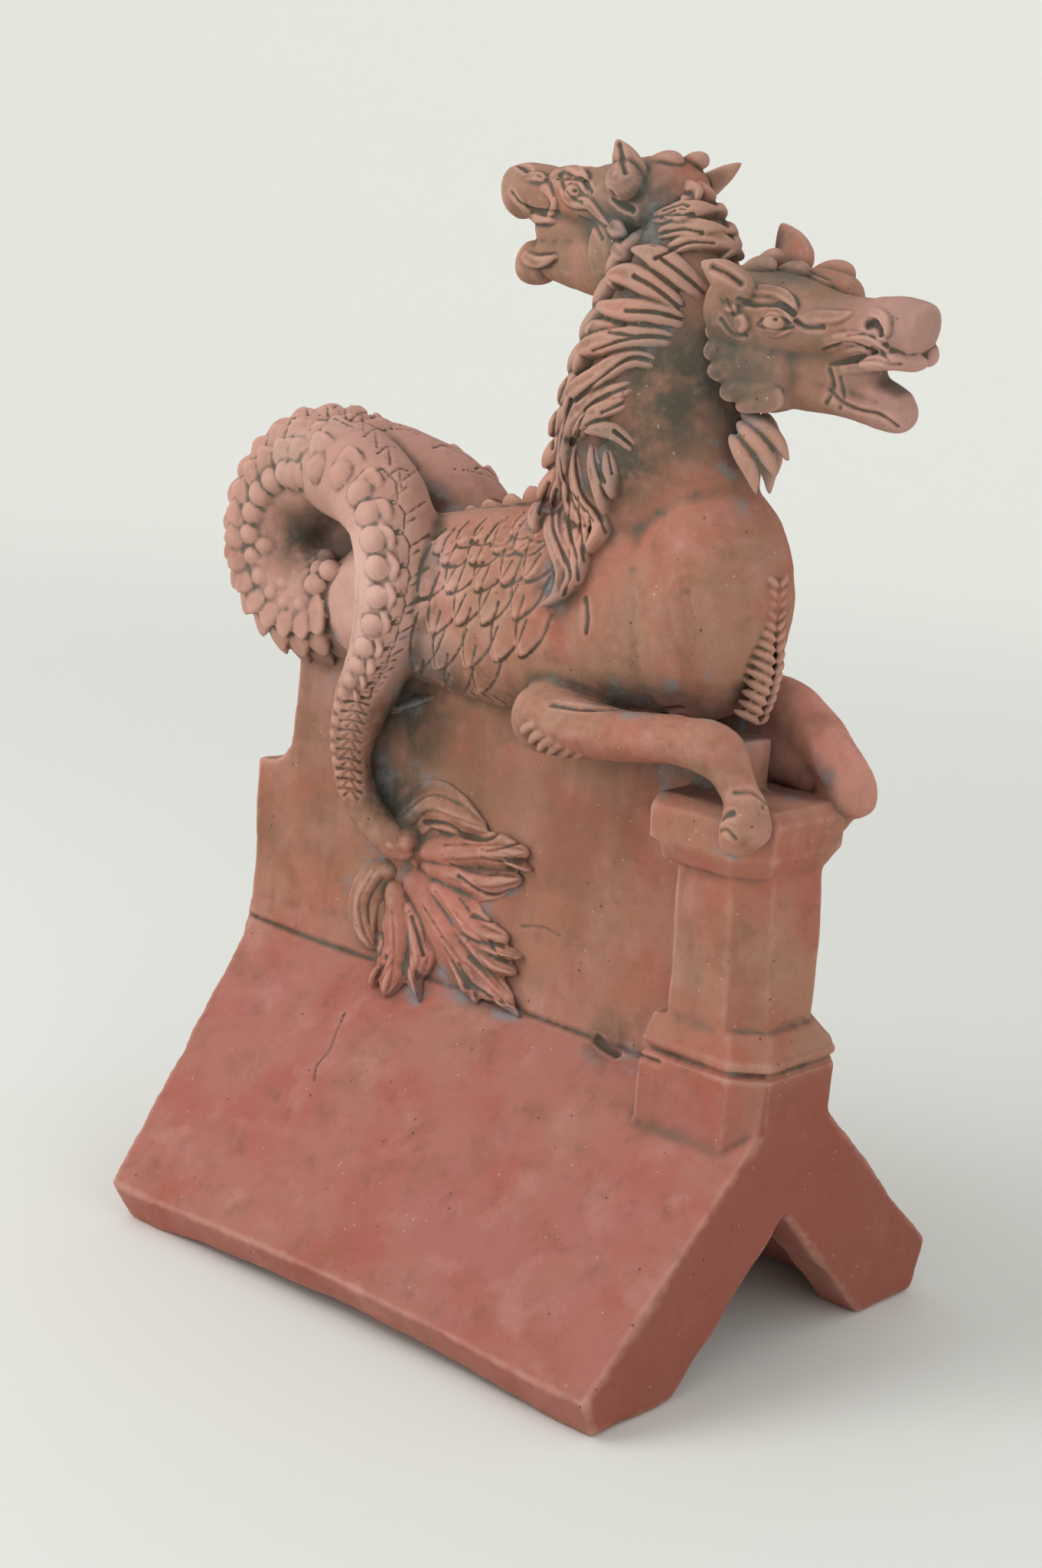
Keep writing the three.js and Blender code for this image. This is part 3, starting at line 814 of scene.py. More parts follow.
# the outline of each scale on the flank, cut in from side to tip to side
SCALE_OUTLINE = ((0.72, 0.95), (0.32, 0.8), (0.0, 0.0), (0.32, -0.8), (0.72, -0.95))
for x, z, lean, drop, width in scales_laid:
    length = math.hypot(lean, drop)
    outline = []
    for reach, side in SCALE_OUTLINE:
        across_x = drop / length * width * side
        across_z = lean / length * width * side
        outline.append((x + lean * reach + across_x, z + drop * reach - across_z))
    BODY_MARKS.append((outline, FLANK_PLANE, 1.9, 1.0))
# pleats along the lobes of the leaf
for path, plane, _ in LEAF_LOBES:
    for part in (-0.3, 0.34):
        pleat = []
        for (x0, z0, wide), (x1, z1, _) in zip(path, path[1:]):
            run = math.hypot(x1 - x0, z1 - z0)
            pleat.append((x0 - part * wide * (z1 - z0) / run, z0 + part * wide * (x1 - x0) / run))
        pleat.append(path[-1][:2])
        BODY_MARKS.append((pleat[1:] if len(pleat) > 3 else pleat, plane, 2.2, 0.75))
# a net of triangles between the crescents and the smooth outer edge of the strand, which starts at
# the eighth crescent, where the strand leaves the ring
STRAND_NET = CRESCENTS[7:]
for (_, _, x0, z0, _), (_, _, x1, z1, size) in zip(STRAND_NET, STRAND_NET[1:]):
    out_x = (x0 + x1) / 2 + size * 1.5
    out_z = (z0 + z1) / 2 + size * 0.45
    BODY_MARKS.append(([(x0 + 1, z0), (x0 + 6, z0 + 2), (out_x, out_z)], STRAND_PLANE, 2.0, 1.3))
    BODY_MARKS.append(([(x1 + 1, z1), (x1 + 8, z1 + 1), (out_x - 1, out_z)], STRAND_PLANE, 2.0, 1.3))
    far_corner = (out_x + size * 1.9, out_z + size * 1.2)
    BODY_MARKS.append(([(out_x, out_z), far_corner], STRAND_PLANE, 1.8, 1.0))
    low_corner = (out_x + size * 0.9, out_z - size * 0.2)
    BODY_MARKS.append(([(x1 + 4, z1 + 4), low_corner], STRAND_PLANE, 1.7, 0.9))
# hooks over the top of the ring, where the net begins
RING_HOOKS = [(-486, 556), (-468, 562), (-448, 566), (-430, 566), (-412, 560), (-398, 550), (-384, 540),
              (-372, 526)]
for x, z in RING_HOOKS:
    BODY_MARKS.append(([(x, z), (x + 9, z + 6), (x + 18, z + 6)], STRAND_PLANE, 1.9, 1.3))
    BODY_MARKS.append(([(x + 10, z + 6), (x + 13, z - 6)], STRAND_PLANE, 1.8, 1.1))
# short cross cuts down the thin end of the strand
STRAND_END_PLANE = -28
for step in range(10):
    level = 362 - 7 * step
    left = -402 - 4 * math.sin(step / 9 * math.pi)
    cross = [(left, level - 1), (left + 12, level + 1), (left + 24, level + 1)]
    arrow = [(left + 6, level - 5), (left + 13, level), (left + 20, level - 5)]
    BODY_MARKS.append((cross, STRAND_END_PLANE, 1.9, 1.2))
    BODY_MARKS.append((arrow, STRAND_END_PLANE, 1.7, 1.0))
# nicks along the belly
for step in range(8):
    drop = 3 * chance.random()
    nick = [(-318 + 11 * step, 398 - drop), (-308 + 11 * step, 395 - drop)]
    BODY_MARKS.append((nick, FLANK_PLANE, 2.2, 0.8))
carve(beast, [(beast_skin.line(path, plane), radius, depth) for path, plane, radius, depth in BODY_MARKS],
      flip=over_ridge)
beast_body = to_piece(beast, "sea_beast_body", BODY_VOXEL, 1.15)

# ---- the heads -----------------------------------------------------------------------------

HEAD_PLANE = -25


class Head:
    """A head's place. Its own measures have the poll at 0, the nose towards +x and the crown up."""

    def __init__(self, place, roll, backwards):
        self.place = np.array(place, float)
        level = math.cos(math.radians(roll))
        tip = math.sin(math.radians(roll))
        lean = np.array([[1, 0, 0], [0, level, tip], [0, -tip, level]])
        self.axes = lean @ np.diag([-1, -1, 1]) if backwards else lean

    def out(self, stations):
        """Stations in the head's own measures, turned and put in place."""
        return [tuple(np.array(s[:3], float) @ self.axes + self.place) + tuple(s[3:]) for s in stations]

    def other_side(self, points):
        own = (points - self.place) @ self.axes.T
        return (own * np.array([1.0, -1.0, 1.0])) @ self.axes + self.place


def head_form(head, lower):
    """The mass of a head: the skull, the blunt muzzle, the deep cheeks and the parts below."""
    clay = Clay()
    across = tuple(np.array([0, 1.0, 0]) @ head.axes)

    def limb(stations, around=24, along=28, blunt=0.18, both=False):
        clay.limb(head.out(stations), around, along, blunt, across, head.other_side if both else None)

    limb([(-14, 0, 8, 26, 30), (14, 0, 12, 31, 29), (44, 0, 12, 31, 25), (78, 0, 10, 23, 19),
          (108, 0, 11, 19, 17), (130, 0, 12, 20, 18), (141, 0, 10, 18, 17)], 28, 36)
    limb([(106, 0, 13, 17, 16), (128, 0, 13, 19, 18), (145, 0, 10, 18, 18)], blunt=0.08)
    limb([(18, 13, -14, 19, 30), (40, 13, -20, 18, 26), (58, 10, -22, 14, 20)], both=True)
    limb([(120, 9, 14, 11, 13), (140, 9, 11, 9, 11)], both=True)
    for stations in lower:
        limb(stations)
    return clay


def rough_head(head, lower, locks):
    """A head's clay with its locks laid on, and the rubbed-down skin under them."""
    form = head_form(head, lower).pressed("rough_head")
    one_skin(form, HEAD_FORM_VOXEL, 14)
    skin = Skin(form)
    clay = Clay()
    clay.start_from(form)
    bpy.data.meshes.remove(form.data)
    for path, thick in locks:
        clay.lock(skin, path, HEAD_PLANE, thick, strands=1, flip=head.other_side)
    return clay, skin


def finished_head(clay, head, marks, name, dirt=1.0):
    """The head's clay as one skin, with its tool marks. A mark is a path, a radius and a depth."""
    made = clay.pressed("head_clay")
    one_skin(made, HEAD_VOXEL, 1)
    knead(made, 12, 0.8)
    skin = Skin(made)
    carve(made, [(skin.line(path, HEAD_PLANE), radius, depth) for path, radius, depth in marks],
          flip=head.other_side)
    return to_piece(made, name, HEAD_VOXEL, dirt)


front = Head((-110, -6, 650), 14, False)
FRONT_JAW = [
    # the lower jaw, the floor of the mouth and the tongue
    [(20, 0, -20, 22, 24), (60, 0, -27, 19, 18), (92, 0, -34, 16, 12), (116, 0, -39, 14, 12),
     (135, 0, -41, 14, 12)],
    [(30, 0, -8, 20, 20), (64, 0, -14, 18, 20), (92, 0, -16, 15, 18), (113, 0, -17, 12, 16)],
    [(84, 0, -22, 12, 9), (106, 0, -25, 12, 7), (122, 0, -30, 11, 6), (131, 0, -34, 9, 5)],
]
FRONT_LOCKS = [
    # path as seen on the heads' plane with half widths, thickness: brows, lids, cheeks and lips
    ([(-95, 670, 3), (-84, 675, 4), (-68, 676, 4.5), (-55, 672, 4), (-48, 666, 3)], 4.6),
    ([(-77, 657, 1.5), (-66, 665, 2.4), (-54, 662, 2.2), (-48, 657, 1.5)], 2.6),
    ([(-77, 655, 1.5), (-64, 651, 2.2), (-50, 655, 1.5)], 2.4),
    ([(-48, 660, 2), (-36, 664, 4), (-20, 665, 4), (-8, 668, 3)], 2.0),
    ([(-30, 648, 2.5), (-18, 652, 4), (0, 654, 4), (14, 652, 4), (24, 646, 3)], 4.2),
    ([(-24, 640, 2.5), (-12, 644, 3.5), (4, 648, 3.5), (20, 642, 2.5)], 3.2),
    ([(-18, 634, 3), (-2, 637, 4), (12, 641, 4.5), (22, 644, 4), (29, 646, 3)], 4.4),
    ([(-95, 655, 4), (-88, 655, 6), (-82, 654, 4)], 5.0),
    ([(-104, 664, 3.5), (-98, 665, 4.5), (-92, 662, 3)], 4.0),
    ([(2, 672, 3), (8, 669, 4), (15, 665, 4), (18, 657, 3)], 4.0),
    ([(-2, 662, 3), (2, 656, 4), (10, 653, 4), (17, 656, 3)], 3.5),
]
CHEEK_FRINGE = [
    # the scalloped plate of hair behind the cheek
    [(-66, -25, 662, 4, 11), (-94, -28, 662, 4, 10), (-108, -29, 661, 2, 6)],
    [(-62, -26, 650, 4, 12), (-94, -29, 650, 4, 10), (-112, -30, 648, 2, 6)],
    [(-60, -26, 640, 4, 12), (-94, -29, 639, 4, 10), (-112, -30, 635, 2, 6)],
    [(-60, -26, 630, 4, 12), (-90, -29, 628, 4, 10), (-107, -30, 623, 2, 6)],
    [(-56, -26, 620, 4, 11), (-82, -28, 617, 4, 9), (-97, -29, 611, 2, 6)],
    [(-50, -25, 614, 4, 9), (-72, -27, 610, 4, 8), (-84, -28, 604, 2, 5)],
]
clay, skin = rough_head(front, FRONT_JAW, FRONT_LOCKS)
for stations in CHEEK_FRINGE:
    clay.limb(stations, 16, 20, 0.3, flip=front.other_side)
UPPER_LIP_RIM = [(-4, -21, 638, 4, 4), (10, -23, 641, 5, 5), (22, -22, 643, 5.5, 5.5),
                 (30, -14, 643, 5, 5.5), (33, -2, 643, 5, 5)]
clay.limb(UPPER_LIP_RIM, 14, 20, 0.3, flip=front.other_side)
eye, normal = skin.press(-64, 658, HEAD_PLANE)
clay.ball(eye - normal * 0.8, (7.5, 6.5, 6.8), flip=front.other_side)
FRONT_EARS = [
    [(-76, -33, 668, 8, 11), (-90, -42, 681, 7, 11), (-108, -46, 690, 2, 3)],
    [(-82, 22, 684, 9, 16), (-97, 32, 699, 7, 14), (-114, 40, 717, 2, 4)],
]
for stations in FRONT_EARS:
    clay.limb(stations, 16, 20, 0.3)
CROWN = [
    # the forelock and the knobs between the ears and the brows
    [(-98, -14, 680, 8, 8), (-86, -15, 689, 7, 7), (-74, -15, 692, 5, 5)],
    [(-84, 0, 680, 9, 9), (-70, 0, 688, 8, 7), (-60, 0, 688, 6, 6)],
    [(-88, 12, 676, 12, 12), (-62, 15, 680, 12, 12), (-44, 16, 679, 10, 11), (-28, 14, 672, 7, 8)],
    [(-72, 18, 686, 6, 6), (-58, 20, 691, 6, 6), (-48, 20, 690, 6, 7), (-40, 19, 685, 4, 5)],
    [(-100, 4, 684, 9, 9), (-92, 5, 694, 7, 7), (-84, 5, 697, 5, 5)],
]
for stations in CROWN:
    clay.limb(stations, 16, 18, 0.3)
FRONT_MARKS = [
    # path as seen, radius, depth
    ([(-92, 669), (-80, 667), (-70, 668), (-60, 668), (-50, 664)], 2.6, 2.0),
    ([(-76, 656), (-68, 662), (-58, 661), (-49, 657)], 1.5, 1.0),
    ([(-76, 655), (-64, 653), (-50, 656)], 1.5, 1.0),
    ([(-63.5, 660), (-62.5, 660)], 2.4, 2.6),
    ([(-48, 660), (-40, 657), (-28, 658)], 2.4, 1.8),
    ([(-26, 645), (-12, 650), (2, 650), (14, 648), (22, 641)], 2.2, 1.6),
    ([(-20, 637), (-6, 640), (10, 643), (21, 641), (29, 642)], 2.0, 1.5),
    ([(-10, 655), (4, 657), (18, 651)], 2.0, 1.2),
    ([(4, 663), (9, 663), (13, 660)], 4.2, 5.0),
    ([(-104, 656), (-94, 648), (-84, 648)], 2.4, 1.6),
    ([(-101, 668), (-95, 660)], 1.8, 1.2),
    ([(-20, 634), (-16, 624), (-20, 614)], 2.4, 1.6),
    ([(-12, 630), (-8, 620), (-10, 612)], 2.2, 1.2),
    ([(-18, 622), (-8, 616), (4, 613), (18, 612), (32, 606)], 2.2, 1.8),
    ([(-115, 687), (-104, 684), (-92, 679)], 3.4, 3.2),
]
front_head = finished_head(clay, front, FRONT_MARKS, "front_head")

rear = Head((-164, 6, 712), 0, True)
REAR_JAW = [
    # the lower jaw, the ball of the lower lip and the floor of the mouth
    [(14, 0, -14, 20, 26), (34, 0, -24, 22, 30), (60, 0, -26, 20, 27), (84, 0, -27, 17, 22),
     (104, 0, -28, 15, 17), (116, 0, -31, 14, 15)],
    [(108, 0, -33, 14, 13), (120, 0, -34, 15, 15), (131, 0, -33, 14, 14)],
    [(30, 0, -8, 20, 24), (70, 0, -10, 18, 24), (100, 0, -10, 16, 18), (120, 0, -10, 12, 12)],
]
REAR_LOCKS = [
    # brow, cheek, lid, lips and nostril, and at the end two locks of beard
    ([(-254, 732, 3), (-245, 737, 4.5), (-232, 738, 5), (-218, 733, 4)], 5.0),
    ([(-243, 730, 2), (-238, 722, 3), (-230, 718, 3.5), (-218, 719, 4), (-208, 713, 4),
      (-199, 706, 2.5)], 3.6),
    ([(-242, 726, 1.5), (-235, 732, 2.2), (-226, 731, 2.2), (-220, 725, 1.5)], 2.6),
    ([(-285, 722, 4), (-275, 715, 4.5), (-266, 709, 4), (-256, 706, 3), (-244, 706, 3)], 4.2),
    ([(-272, 685, 3.5), (-264, 680, 4.5), (-252, 680, 4), (-240, 684, 3)], 4.0),
    ([(-262, 728, 2.5), (-252, 724, 3), (-246, 716, 3), (-250, 708, 2.5)], 3.0),
    ([(-284, 738, 3), (-276, 744, 4), (-268, 742, 3)], 3.0),
    ([(-200, 708, 5), (-192, 704, 6), (-184, 700, 3)], 7),
    ([(-196, 694, 5), (-188, 690, 6), (-178, 686, 3)], 7),
]
clay, skin = rough_head(rear, REAR_JAW, REAR_LOCKS)
eye, normal = skin.press(-231, 725, HEAD_PLANE)
clay.ball(eye - normal * 1.5, (8, 5.5, 5.5), flip=rear.other_side)
knob, normal = skin.press(-187, 733, HEAD_PLANE)
clay.limb([tuple(knob - normal * 8) + (12, 12), tuple(knob + normal * 5) + (12, 12),
           tuple(knob + normal * 16) + (10, 10)], 20, 16, 0.4, flip=rear.other_side)
REAR_EARS = [
    [(-186, -14, 724, 9, 13), (-190, -22, 742, 7, 12), (-198, -27, 760, 2, 4)],
    [(-176, 20, 726, 7, 10), (-162, 31, 739, 5, 8), (-148, 39, 752, 2, 2.5)],
]
for stations in REAR_EARS:
    clay.limb(stations, 16, 20, 0.3)
REAR_CROWN = [
    [(-190, -4, 738, 9, 8), (-176, -4, 749, 8, 6), (-162, -3, 749, 6, 5)],
    [(-176, 10, 740, 9, 8), (-164, 12, 750, 7, 6), (-154, 12, 750, 5, 5)],
]
for stations in REAR_CROWN:
    clay.limb(stations, 16, 18, 0.3)
REAR_MARKS = [
    ([(-243, 735), (-240, 728), (-234, 722), (-224, 719)], 2.4, 1.8),
    ([(-245, 733), (-236, 733), (-224, 733), (-216, 726)], 2.2, 1.6),
    ([(-231, 726), (-230, 726)], 2.2, 2.2),
    ([(-284, 722), (-276, 716), (-266, 713), (-256, 712), (-242, 712)], 2.0, 1.4),
    ([(-280, 740), (-276, 739), (-272, 737)], 3.6, 4.0),
    ([(-262, 734), (-252, 730), (-248, 722)], 2.0, 1.0),
    ([(-224, 710), (-212, 706), (-204, 698)], 2.4, 1.2),
    ([(-200, 726), (-192, 720), (-182, 717)], 3.4, 3.0),
    ([(-197, 756), (-194, 748), (-190, 740)], 3.2, 2.6),
]
rear_head = finished_head(clay, rear, REAR_MARKS, "rear_head", 1.5)

# ---- the mane ------------------------------------------------------------------------------

neck = Clay()
neck.limb(NECK, 40, 50)
neck.limb(TRUNK, 36, 40)
neck_form = neck.pressed("neck_form")
one_skin(neck_form, FORM_VOXEL, 6)
neck_skin = Skin(neck_form)
bpy.data.meshes.remove(neck_form.data)

MANE_PLANE = -35
MANE = [
    # path as seen on the mane's plane with half widths, thickness
    ([(-104, 666, 7), (-126, 681, 10), (-148, 688, 10), (-166, 690, 4)], 10),
    ([(-122, 658, 7), (-148, 671, 11), (-168, 674, 10), (-187, 668, 4)], 11),
    ([(-118, 650, 7), (-146, 656, 10), (-172, 657, 9), (-197, 652, 4)], 10),
    ([(-160, 640, 6), (-184, 643, 9), (-208, 639, 4)], 10),
    ([(-124, 638, 6), (-150, 642, 9), (-174, 638, 10), (-196, 625, 9), (-211, 610, 4)], 11),
    ([(-138, 624, 6), (-164, 624, 9), (-188, 613, 10), (-206, 596, 9), (-215, 576, 5)], 11),
    ([(-154, 612, 6), (-180, 604, 9), (-198, 588, 10), (-206, 566, 9), (-206, 542, 4)], 10),
    ([(-162, 598, 6), (-184, 590, 8), (-198, 574, 4)], 10),
    ([(-152, 572, 5), (-172, 578, 7), (-192, 576, 4)], 8),
    ([(-216, 610, 6), (-223, 586, 9), (-223, 560, 10), (-227, 532, 7)], 10),
    ([(-210, 596, 6), (-217, 568, 9), (-213, 546, 9), (-199, 532, 8), (-184, 524, 7), (-172, 514, 4)], 10),
    ([(-201, 576, 5), (-202, 555, 8), (-193, 539, 8), (-179, 528, 8), (-171, 513, 7), (-182, 499, 4)], 11),
    ([(-190, 576, 4), (-185, 557, 7), (-177, 545, 7), (-169, 530, 4)], 9),
    ([(-178, 572, 4), (-171, 554, 7), (-164, 536, 4)], 8),
    ([(-216, 538, 6), (-217, 516, 9), (-210, 499, 9), (-199, 486, 8), (-201, 472, 6), (-217, 458, 3)], 10),
    ([(-206, 536, 5), (-202, 512, 8), (-193, 495, 8), (-190, 480, 6), (-199, 467, 3)], 11),
    ([(-198, 534, 5), (-192, 512, 7), (-187, 494, 7), (-187, 477, 4)], 11),
    ([(-189, 528, 4), (-184, 512, 6), (-184, 498, 4)], 9),
    ([(-223, 540, 5), (-228, 522, 8), (-227, 504, 5)], 9),
    ([(-164, 729, 5), (-148, 736, 7), (-136, 738, 7), (-123, 734, 4)], 9),
    ([(-164, 721, 6), (-146, 727, 8), (-130, 729, 8), (-112, 725, 5)], 10),
    ([(-162, 710, 6), (-142, 716, 8), (-126, 719, 8), (-109, 715, 5)], 10),
    ([(-156, 700, 6), (-134, 707, 8), (-118, 709, 8), (-99, 703, 4)], 10),
    ([(-152, 691, 5), (-128, 698, 8), (-108, 699, 8), (-89, 693, 4)], 10),
]
THROAT = [
    # strands of the tuft under the front head
    [(-86, -20, 602, 5, 5), (-70, -19, 595, 5, 6), (-58, -16, 586, 4, 5), (-50, -14, 575, 2, 2)],
    [(-86, -23, 596, 5, 5), (-72, -23, 586, 5, 6), (-62, -20, 576, 4, 5), (-56, -18, 565, 2, 2)],
    [(-88, -26, 588, 5, 5), (-77, -26, 577, 5, 6), (-70, -24, 566, 4, 5), (-66, -22, 553, 2, 2)],
    [(-92, -8, 598, 7, 8), (-80, -6, 586, 6, 8), (-72, -5, 570, 5, 6), (-69, -4, 552, 3, 3)],
    [(-98, 20, 600, 6, 8), (-90, 18, 586, 6, 8), (-83, 16, 572, 5, 6), (-80, 14, 560, 3, 3)],
]
LOCK_SLIM = 0.84
LOCK_FULL = 1.3
SWAY = 2.5


def swayed(path):
    """A lock's path with a slight swing up and down, which differs from lock to lock."""
    return [(x, z + SWAY * math.sin(1.9 * k + path[0][0]), wide) for k, (x, z, wide) in enumerate(path)]


locks = Clay()
for path, thick in MANE:
    slim = [(x, z, wide * LOCK_SLIM) for x, z, wide in swayed(path)]
    locks.lock(neck_skin, slim, MANE_PLANE, thick * LOCK_FULL, strands=1, flip=over_ridge, along=30)
# the crest down the back of the neck, in three columns
for row in range(9):
    down = row / 8
    x = -186 - 42 * math.sin(down * math.pi * 0.55)
    for y, lower in ((-15, 0), (0, 9), (15, 0)):
        z = 690 - 170 * down - lower
        tuft = [(x + 14, y, z + 16, 8, 7), (x - 3, y * 1.3, z - 2, 9, 8), (x - 15, y * 1.4, z - 15, 3, 4)]
        locks.limb(tuft, 20, 18, 0.3)
for stations in THROAT:
    locks.limb(stations, 18, 24, 0.35)
mane_clay = locks.pressed("mane_clay")
one_skin(mane_clay, MANE_VOXEL, 1)
knead(mane_clay, 12, 0.8)
mane_skin = Skin(mane_clay)
# one parting a little off the middle of each lock
PARTING = 0.05
partings = []
for path, _ in MANE:
    line = [(x + PARTING * wide, z + PARTING * wide) for x, z, wide in swayed(path)[:-1]]
    partings.append((mane_skin.line(line, MANE_PLANE), 2.3, 2.2))
carve(mane_clay, partings, flip=over_ridge)
mane = to_piece(mane_clay, "mane", MANE_VOXEL, 1.7)

# ---- the fired clay's finish -----------------------------------------------------------------


def linear(hex_colour):
    """An sRGB hex value as the linear colour that the shader takes."""
    parts = [int(hex_colour[i:i + 2], 16) / 255 for i in (1, 3, 5)]
    return tuple(c / 12.92 if c <= 0.04045 else ((c + 0.055) / 1.055) ** 2.4 for c in parts) + (1.0,)


def node(tree, kind, inputs=None, **settings):
    """Adds a node. Its inputs are values, or another node's output to link."""
    made = tree.nodes.new(kind)
    for name, value in settings.items():
        setattr(made, name, value)
    for name, value in (inputs or {}).items():
        if isinstance(value, bpy.types.NodeSocket):
            tree.links.new(value, made.inputs[name])
        else:
            made.inputs[name].default_value = value
    return made


MM = 0.001
STAINS_SHADE_AND_LIGHT = [
    # clouds of dirt, of washed clay, of painted shade and of painted light: the colour, then each cloud's
    # place in the frame and reach in mm
    # painted shade in a sooty grey: on the neck under the front head, under the trunk, down behind the
    # strand, by the elbows and in the hole of the tail's ring
    ("#4E4A3D", [((0.122, -0.030, 0.607), 62), ((0.100, -0.045, 0.570), 50), ((0.145, -0.035, 0.625), 40),
                 ((-0.062, -0.030, 0.400), 46), ((-0.085, -0.025, 0.350), 40), ((-0.095, -0.020, 0.300), 34),
                 ((0.010, -0.030, 0.385), 36), ((-0.200, -0.020, 0.470), 34)]),
    ("#665B50", [((0.190, -0.050, 0.612), 40), ((0.172, -0.045, 0.632), 44)]),
    ("#55504A", [((0.045, -0.045, 0.575), 40), ((0.040, -0.050, 0.525), 34), ((0.062, -0.050, 0.480), 26)]),
    ("#5C5850", [((0.075, -0.020, 0.715), 40), ((0.190, -0.010, 0.700), 30)]),
    # more painted shade in the same grey: at the back end of the web and where the web meets the slopes
    ("#4E4A3D", [((-0.270, 0.000, 0.250), 30), ((-0.020, -0.020, 0.205), 30), ((0.110, -0.020, 0.185), 22)]),
    # painted light: a pale pink pool on the far foreleg, which the lamps leave in shade
    ("#CE8C7E", [((0.215, 0.050, 0.405), 75)]),
    # painted light on a paler tone: a pale pink pool over the near strand of the tail, where the lamps fall
    # short
    ("#D0A89D", [((-0.095, -0.060, 0.450), 85)]),
    ("#B99688", [((-0.200, -0.040, 0.530), 50)]),
    ("#B67264", [((-0.040, -0.035, 0.235), 75)]),
]


def weathered_terracotta():
    """Unglazed terracotta, pressed and modelled by hand and fired, then long on a roof.

    It reads as matt, dusty pink and brown, with dark dirt in the hollows, painted shade in sheltered places,
    pale rubbed edges, soot-grey clouds of painted shade, pale pools of painted light on the far foreleg and
    the tail, a front face darkened partly by painted shade, and grey lichen."""
    material = bpy.data.materials.new("weathered_terracotta")
    material.use_nodes = True
    tree = material.node_tree
    tree.nodes.clear()
    place = node(tree, "ShaderNodeTexCoord").outputs["Object"]

    def noise(size_mm, detail=4.0, rough=0.55, vector=place):
        inputs = {"Vector": vector, "Scale": 1 / (size_mm * MM), "Detail": detail, "Roughness": rough}
        return node(tree, "ShaderNodeTexNoise", inputs).outputs["Fac"]

    def span(value, low, high, out_low=0.0, out_high=1.0):
        inputs = {"Value": value, "From Min": low, "From Max": high, "To Min": out_low, "To Max": out_high}
        return node(tree, "ShaderNodeMapRange", inputs).outputs["Result"]

    def cells(size_mm):
        inputs = {"Vector": place, "Scale": 1 / (size_mm * MM)}
        return node(tree, "ShaderNodeTexVoronoi", inputs).outputs["Distance"]

    def math_of(kind, a, b):
        return node(tree, "ShaderNodeMath", {0: a, 1: b}, operation=kind).outputs[0]

    def blend(share, under, over):
        made = node(tree, "ShaderNodeMix", {0: share}, data_type="RGBA")
        for socket, colour in ((made.inputs[6], under), (made.inputs[7], over)):
            if isinstance(colour, str):
                socket.default_value = linear(colour)
            else:
                tree.links.new(colour, socket)
        return made.outputs[2]

    def product(a, b):
        return math_of("MULTIPLY", a, b)

    def reading(name):
        return node(tree, "ShaderNodeAttribute", attribute_name=name).outputs["Fac"]

    parts = node(tree, "ShaderNodeSeparateXYZ", {"Vector": place}).outputs

    def along(axis, start_mm, end_mm, out_low=0.0, out_high=1.0):
        """A share that goes from low to high between two places on an axis of the frame."""
        return span(parts[axis], start_mm * MM, end_mm * MM, out_low, out_high)

    fine, wide = reading("hollow_fine"), reading("hollow_wide")
    near, far = reading("shelter_near"), reading("shelter_far")

    # the body of the clay: ochre and brick clouds, redder low down, duller and greyer high up
    colour = blend(span(noise(70, 5), 0.36, 0.62), "#AA705D", "#A57C67")
    low_down = product(along("Z", 205, 165), span(noise(110, 4), 0.3, 0.6, 0.45, 1.0))
    colour = blend(low_down, colour, "#A96A61")
    colour = blend(span(noise(58, 5, 0.6), 0.48, 0.66, 0, 0.6), colour, "#A6584A")
    colour = blend(span(noise(23, 6, 0.65), 0.56, 0.72, 0, 0.45), colour, "#6B5546")
    # painted light on a paler tone: the lower tail is made paler and pinker where the lamps fall short of it
    tail = product(along("X", -40, -110), along("Z", 290, 370))
    colour = blend(product(tail, 0.8), colour, "#BC9084")
    high_up = product(along("Z", 540, 640), span(noise(42, 5), 0.36, 0.6, 0.1, 0.8))
    colour = blend(high_up, colour, "#86705F")
    muzzle = product(along("X", 225, 270), along("Z", 560, 600, 0, 0.75))
    colour = blend(muzzle, colour, "#B48C84")
    colour = blend(span(noise(34, 5), 0.54, 0.72, 0, 0.45), colour, "#C08A80")
    colour = blend(span(noise(48, 6, 0.62), 0.53, 0.72, 0, 0.5), colour, "#8A5D43")
    web_zone = product(product(along("Z", 215, 240), along("X", 130, 60)), along("Z", 400, 380))
    colour = blend(product(web_zone, span(noise(55, 6, 0.6), 0.4, 0.62, 0.1, 0.75)), colour, "#86604B")
    # the listed clouds are laid on one by one: dirt, washed clay, painted shade and painted light alike
    for cloud, spots in STAINS_SHADE_AND_LIGHT:
        for spot, reach in spots:
            away = node(tree, "ShaderNodeVectorMath", {0: place, 1: spot}, operation="DISTANCE")
            stain_shade_and_light = span(away.outputs["Value"], reach * MM, 0.35 * reach * MM, 0, 0.95)
            stain_shade_and_light = product(stain_shade_and_light, span(noise(30, 5, 0.6), 0.33, 0.53, 0.15, 1.0))
            colour = blend(stain_shade_and_light, colour, cloud)
    # the front end of the tile is painted a darker red, partly its redder tone and partly painted shade, and
    # runs of rain have left streaks down every face
    butt = product(along("X", 250, 251.5), along("Z", 215, 185))
    colour = blend(product(butt, 0.75), colour, "#8E4E40")
    stretched = node(tree, "ShaderNodeMapping", {"Vector": place, "Scale": (1, 1, 0.16)}).outputs["Vector"]
    colour = blend(span(noise(16, 4, 0.6, stretched), 0.56, 0.74, 0, 0.28), colour, "#6E5545")

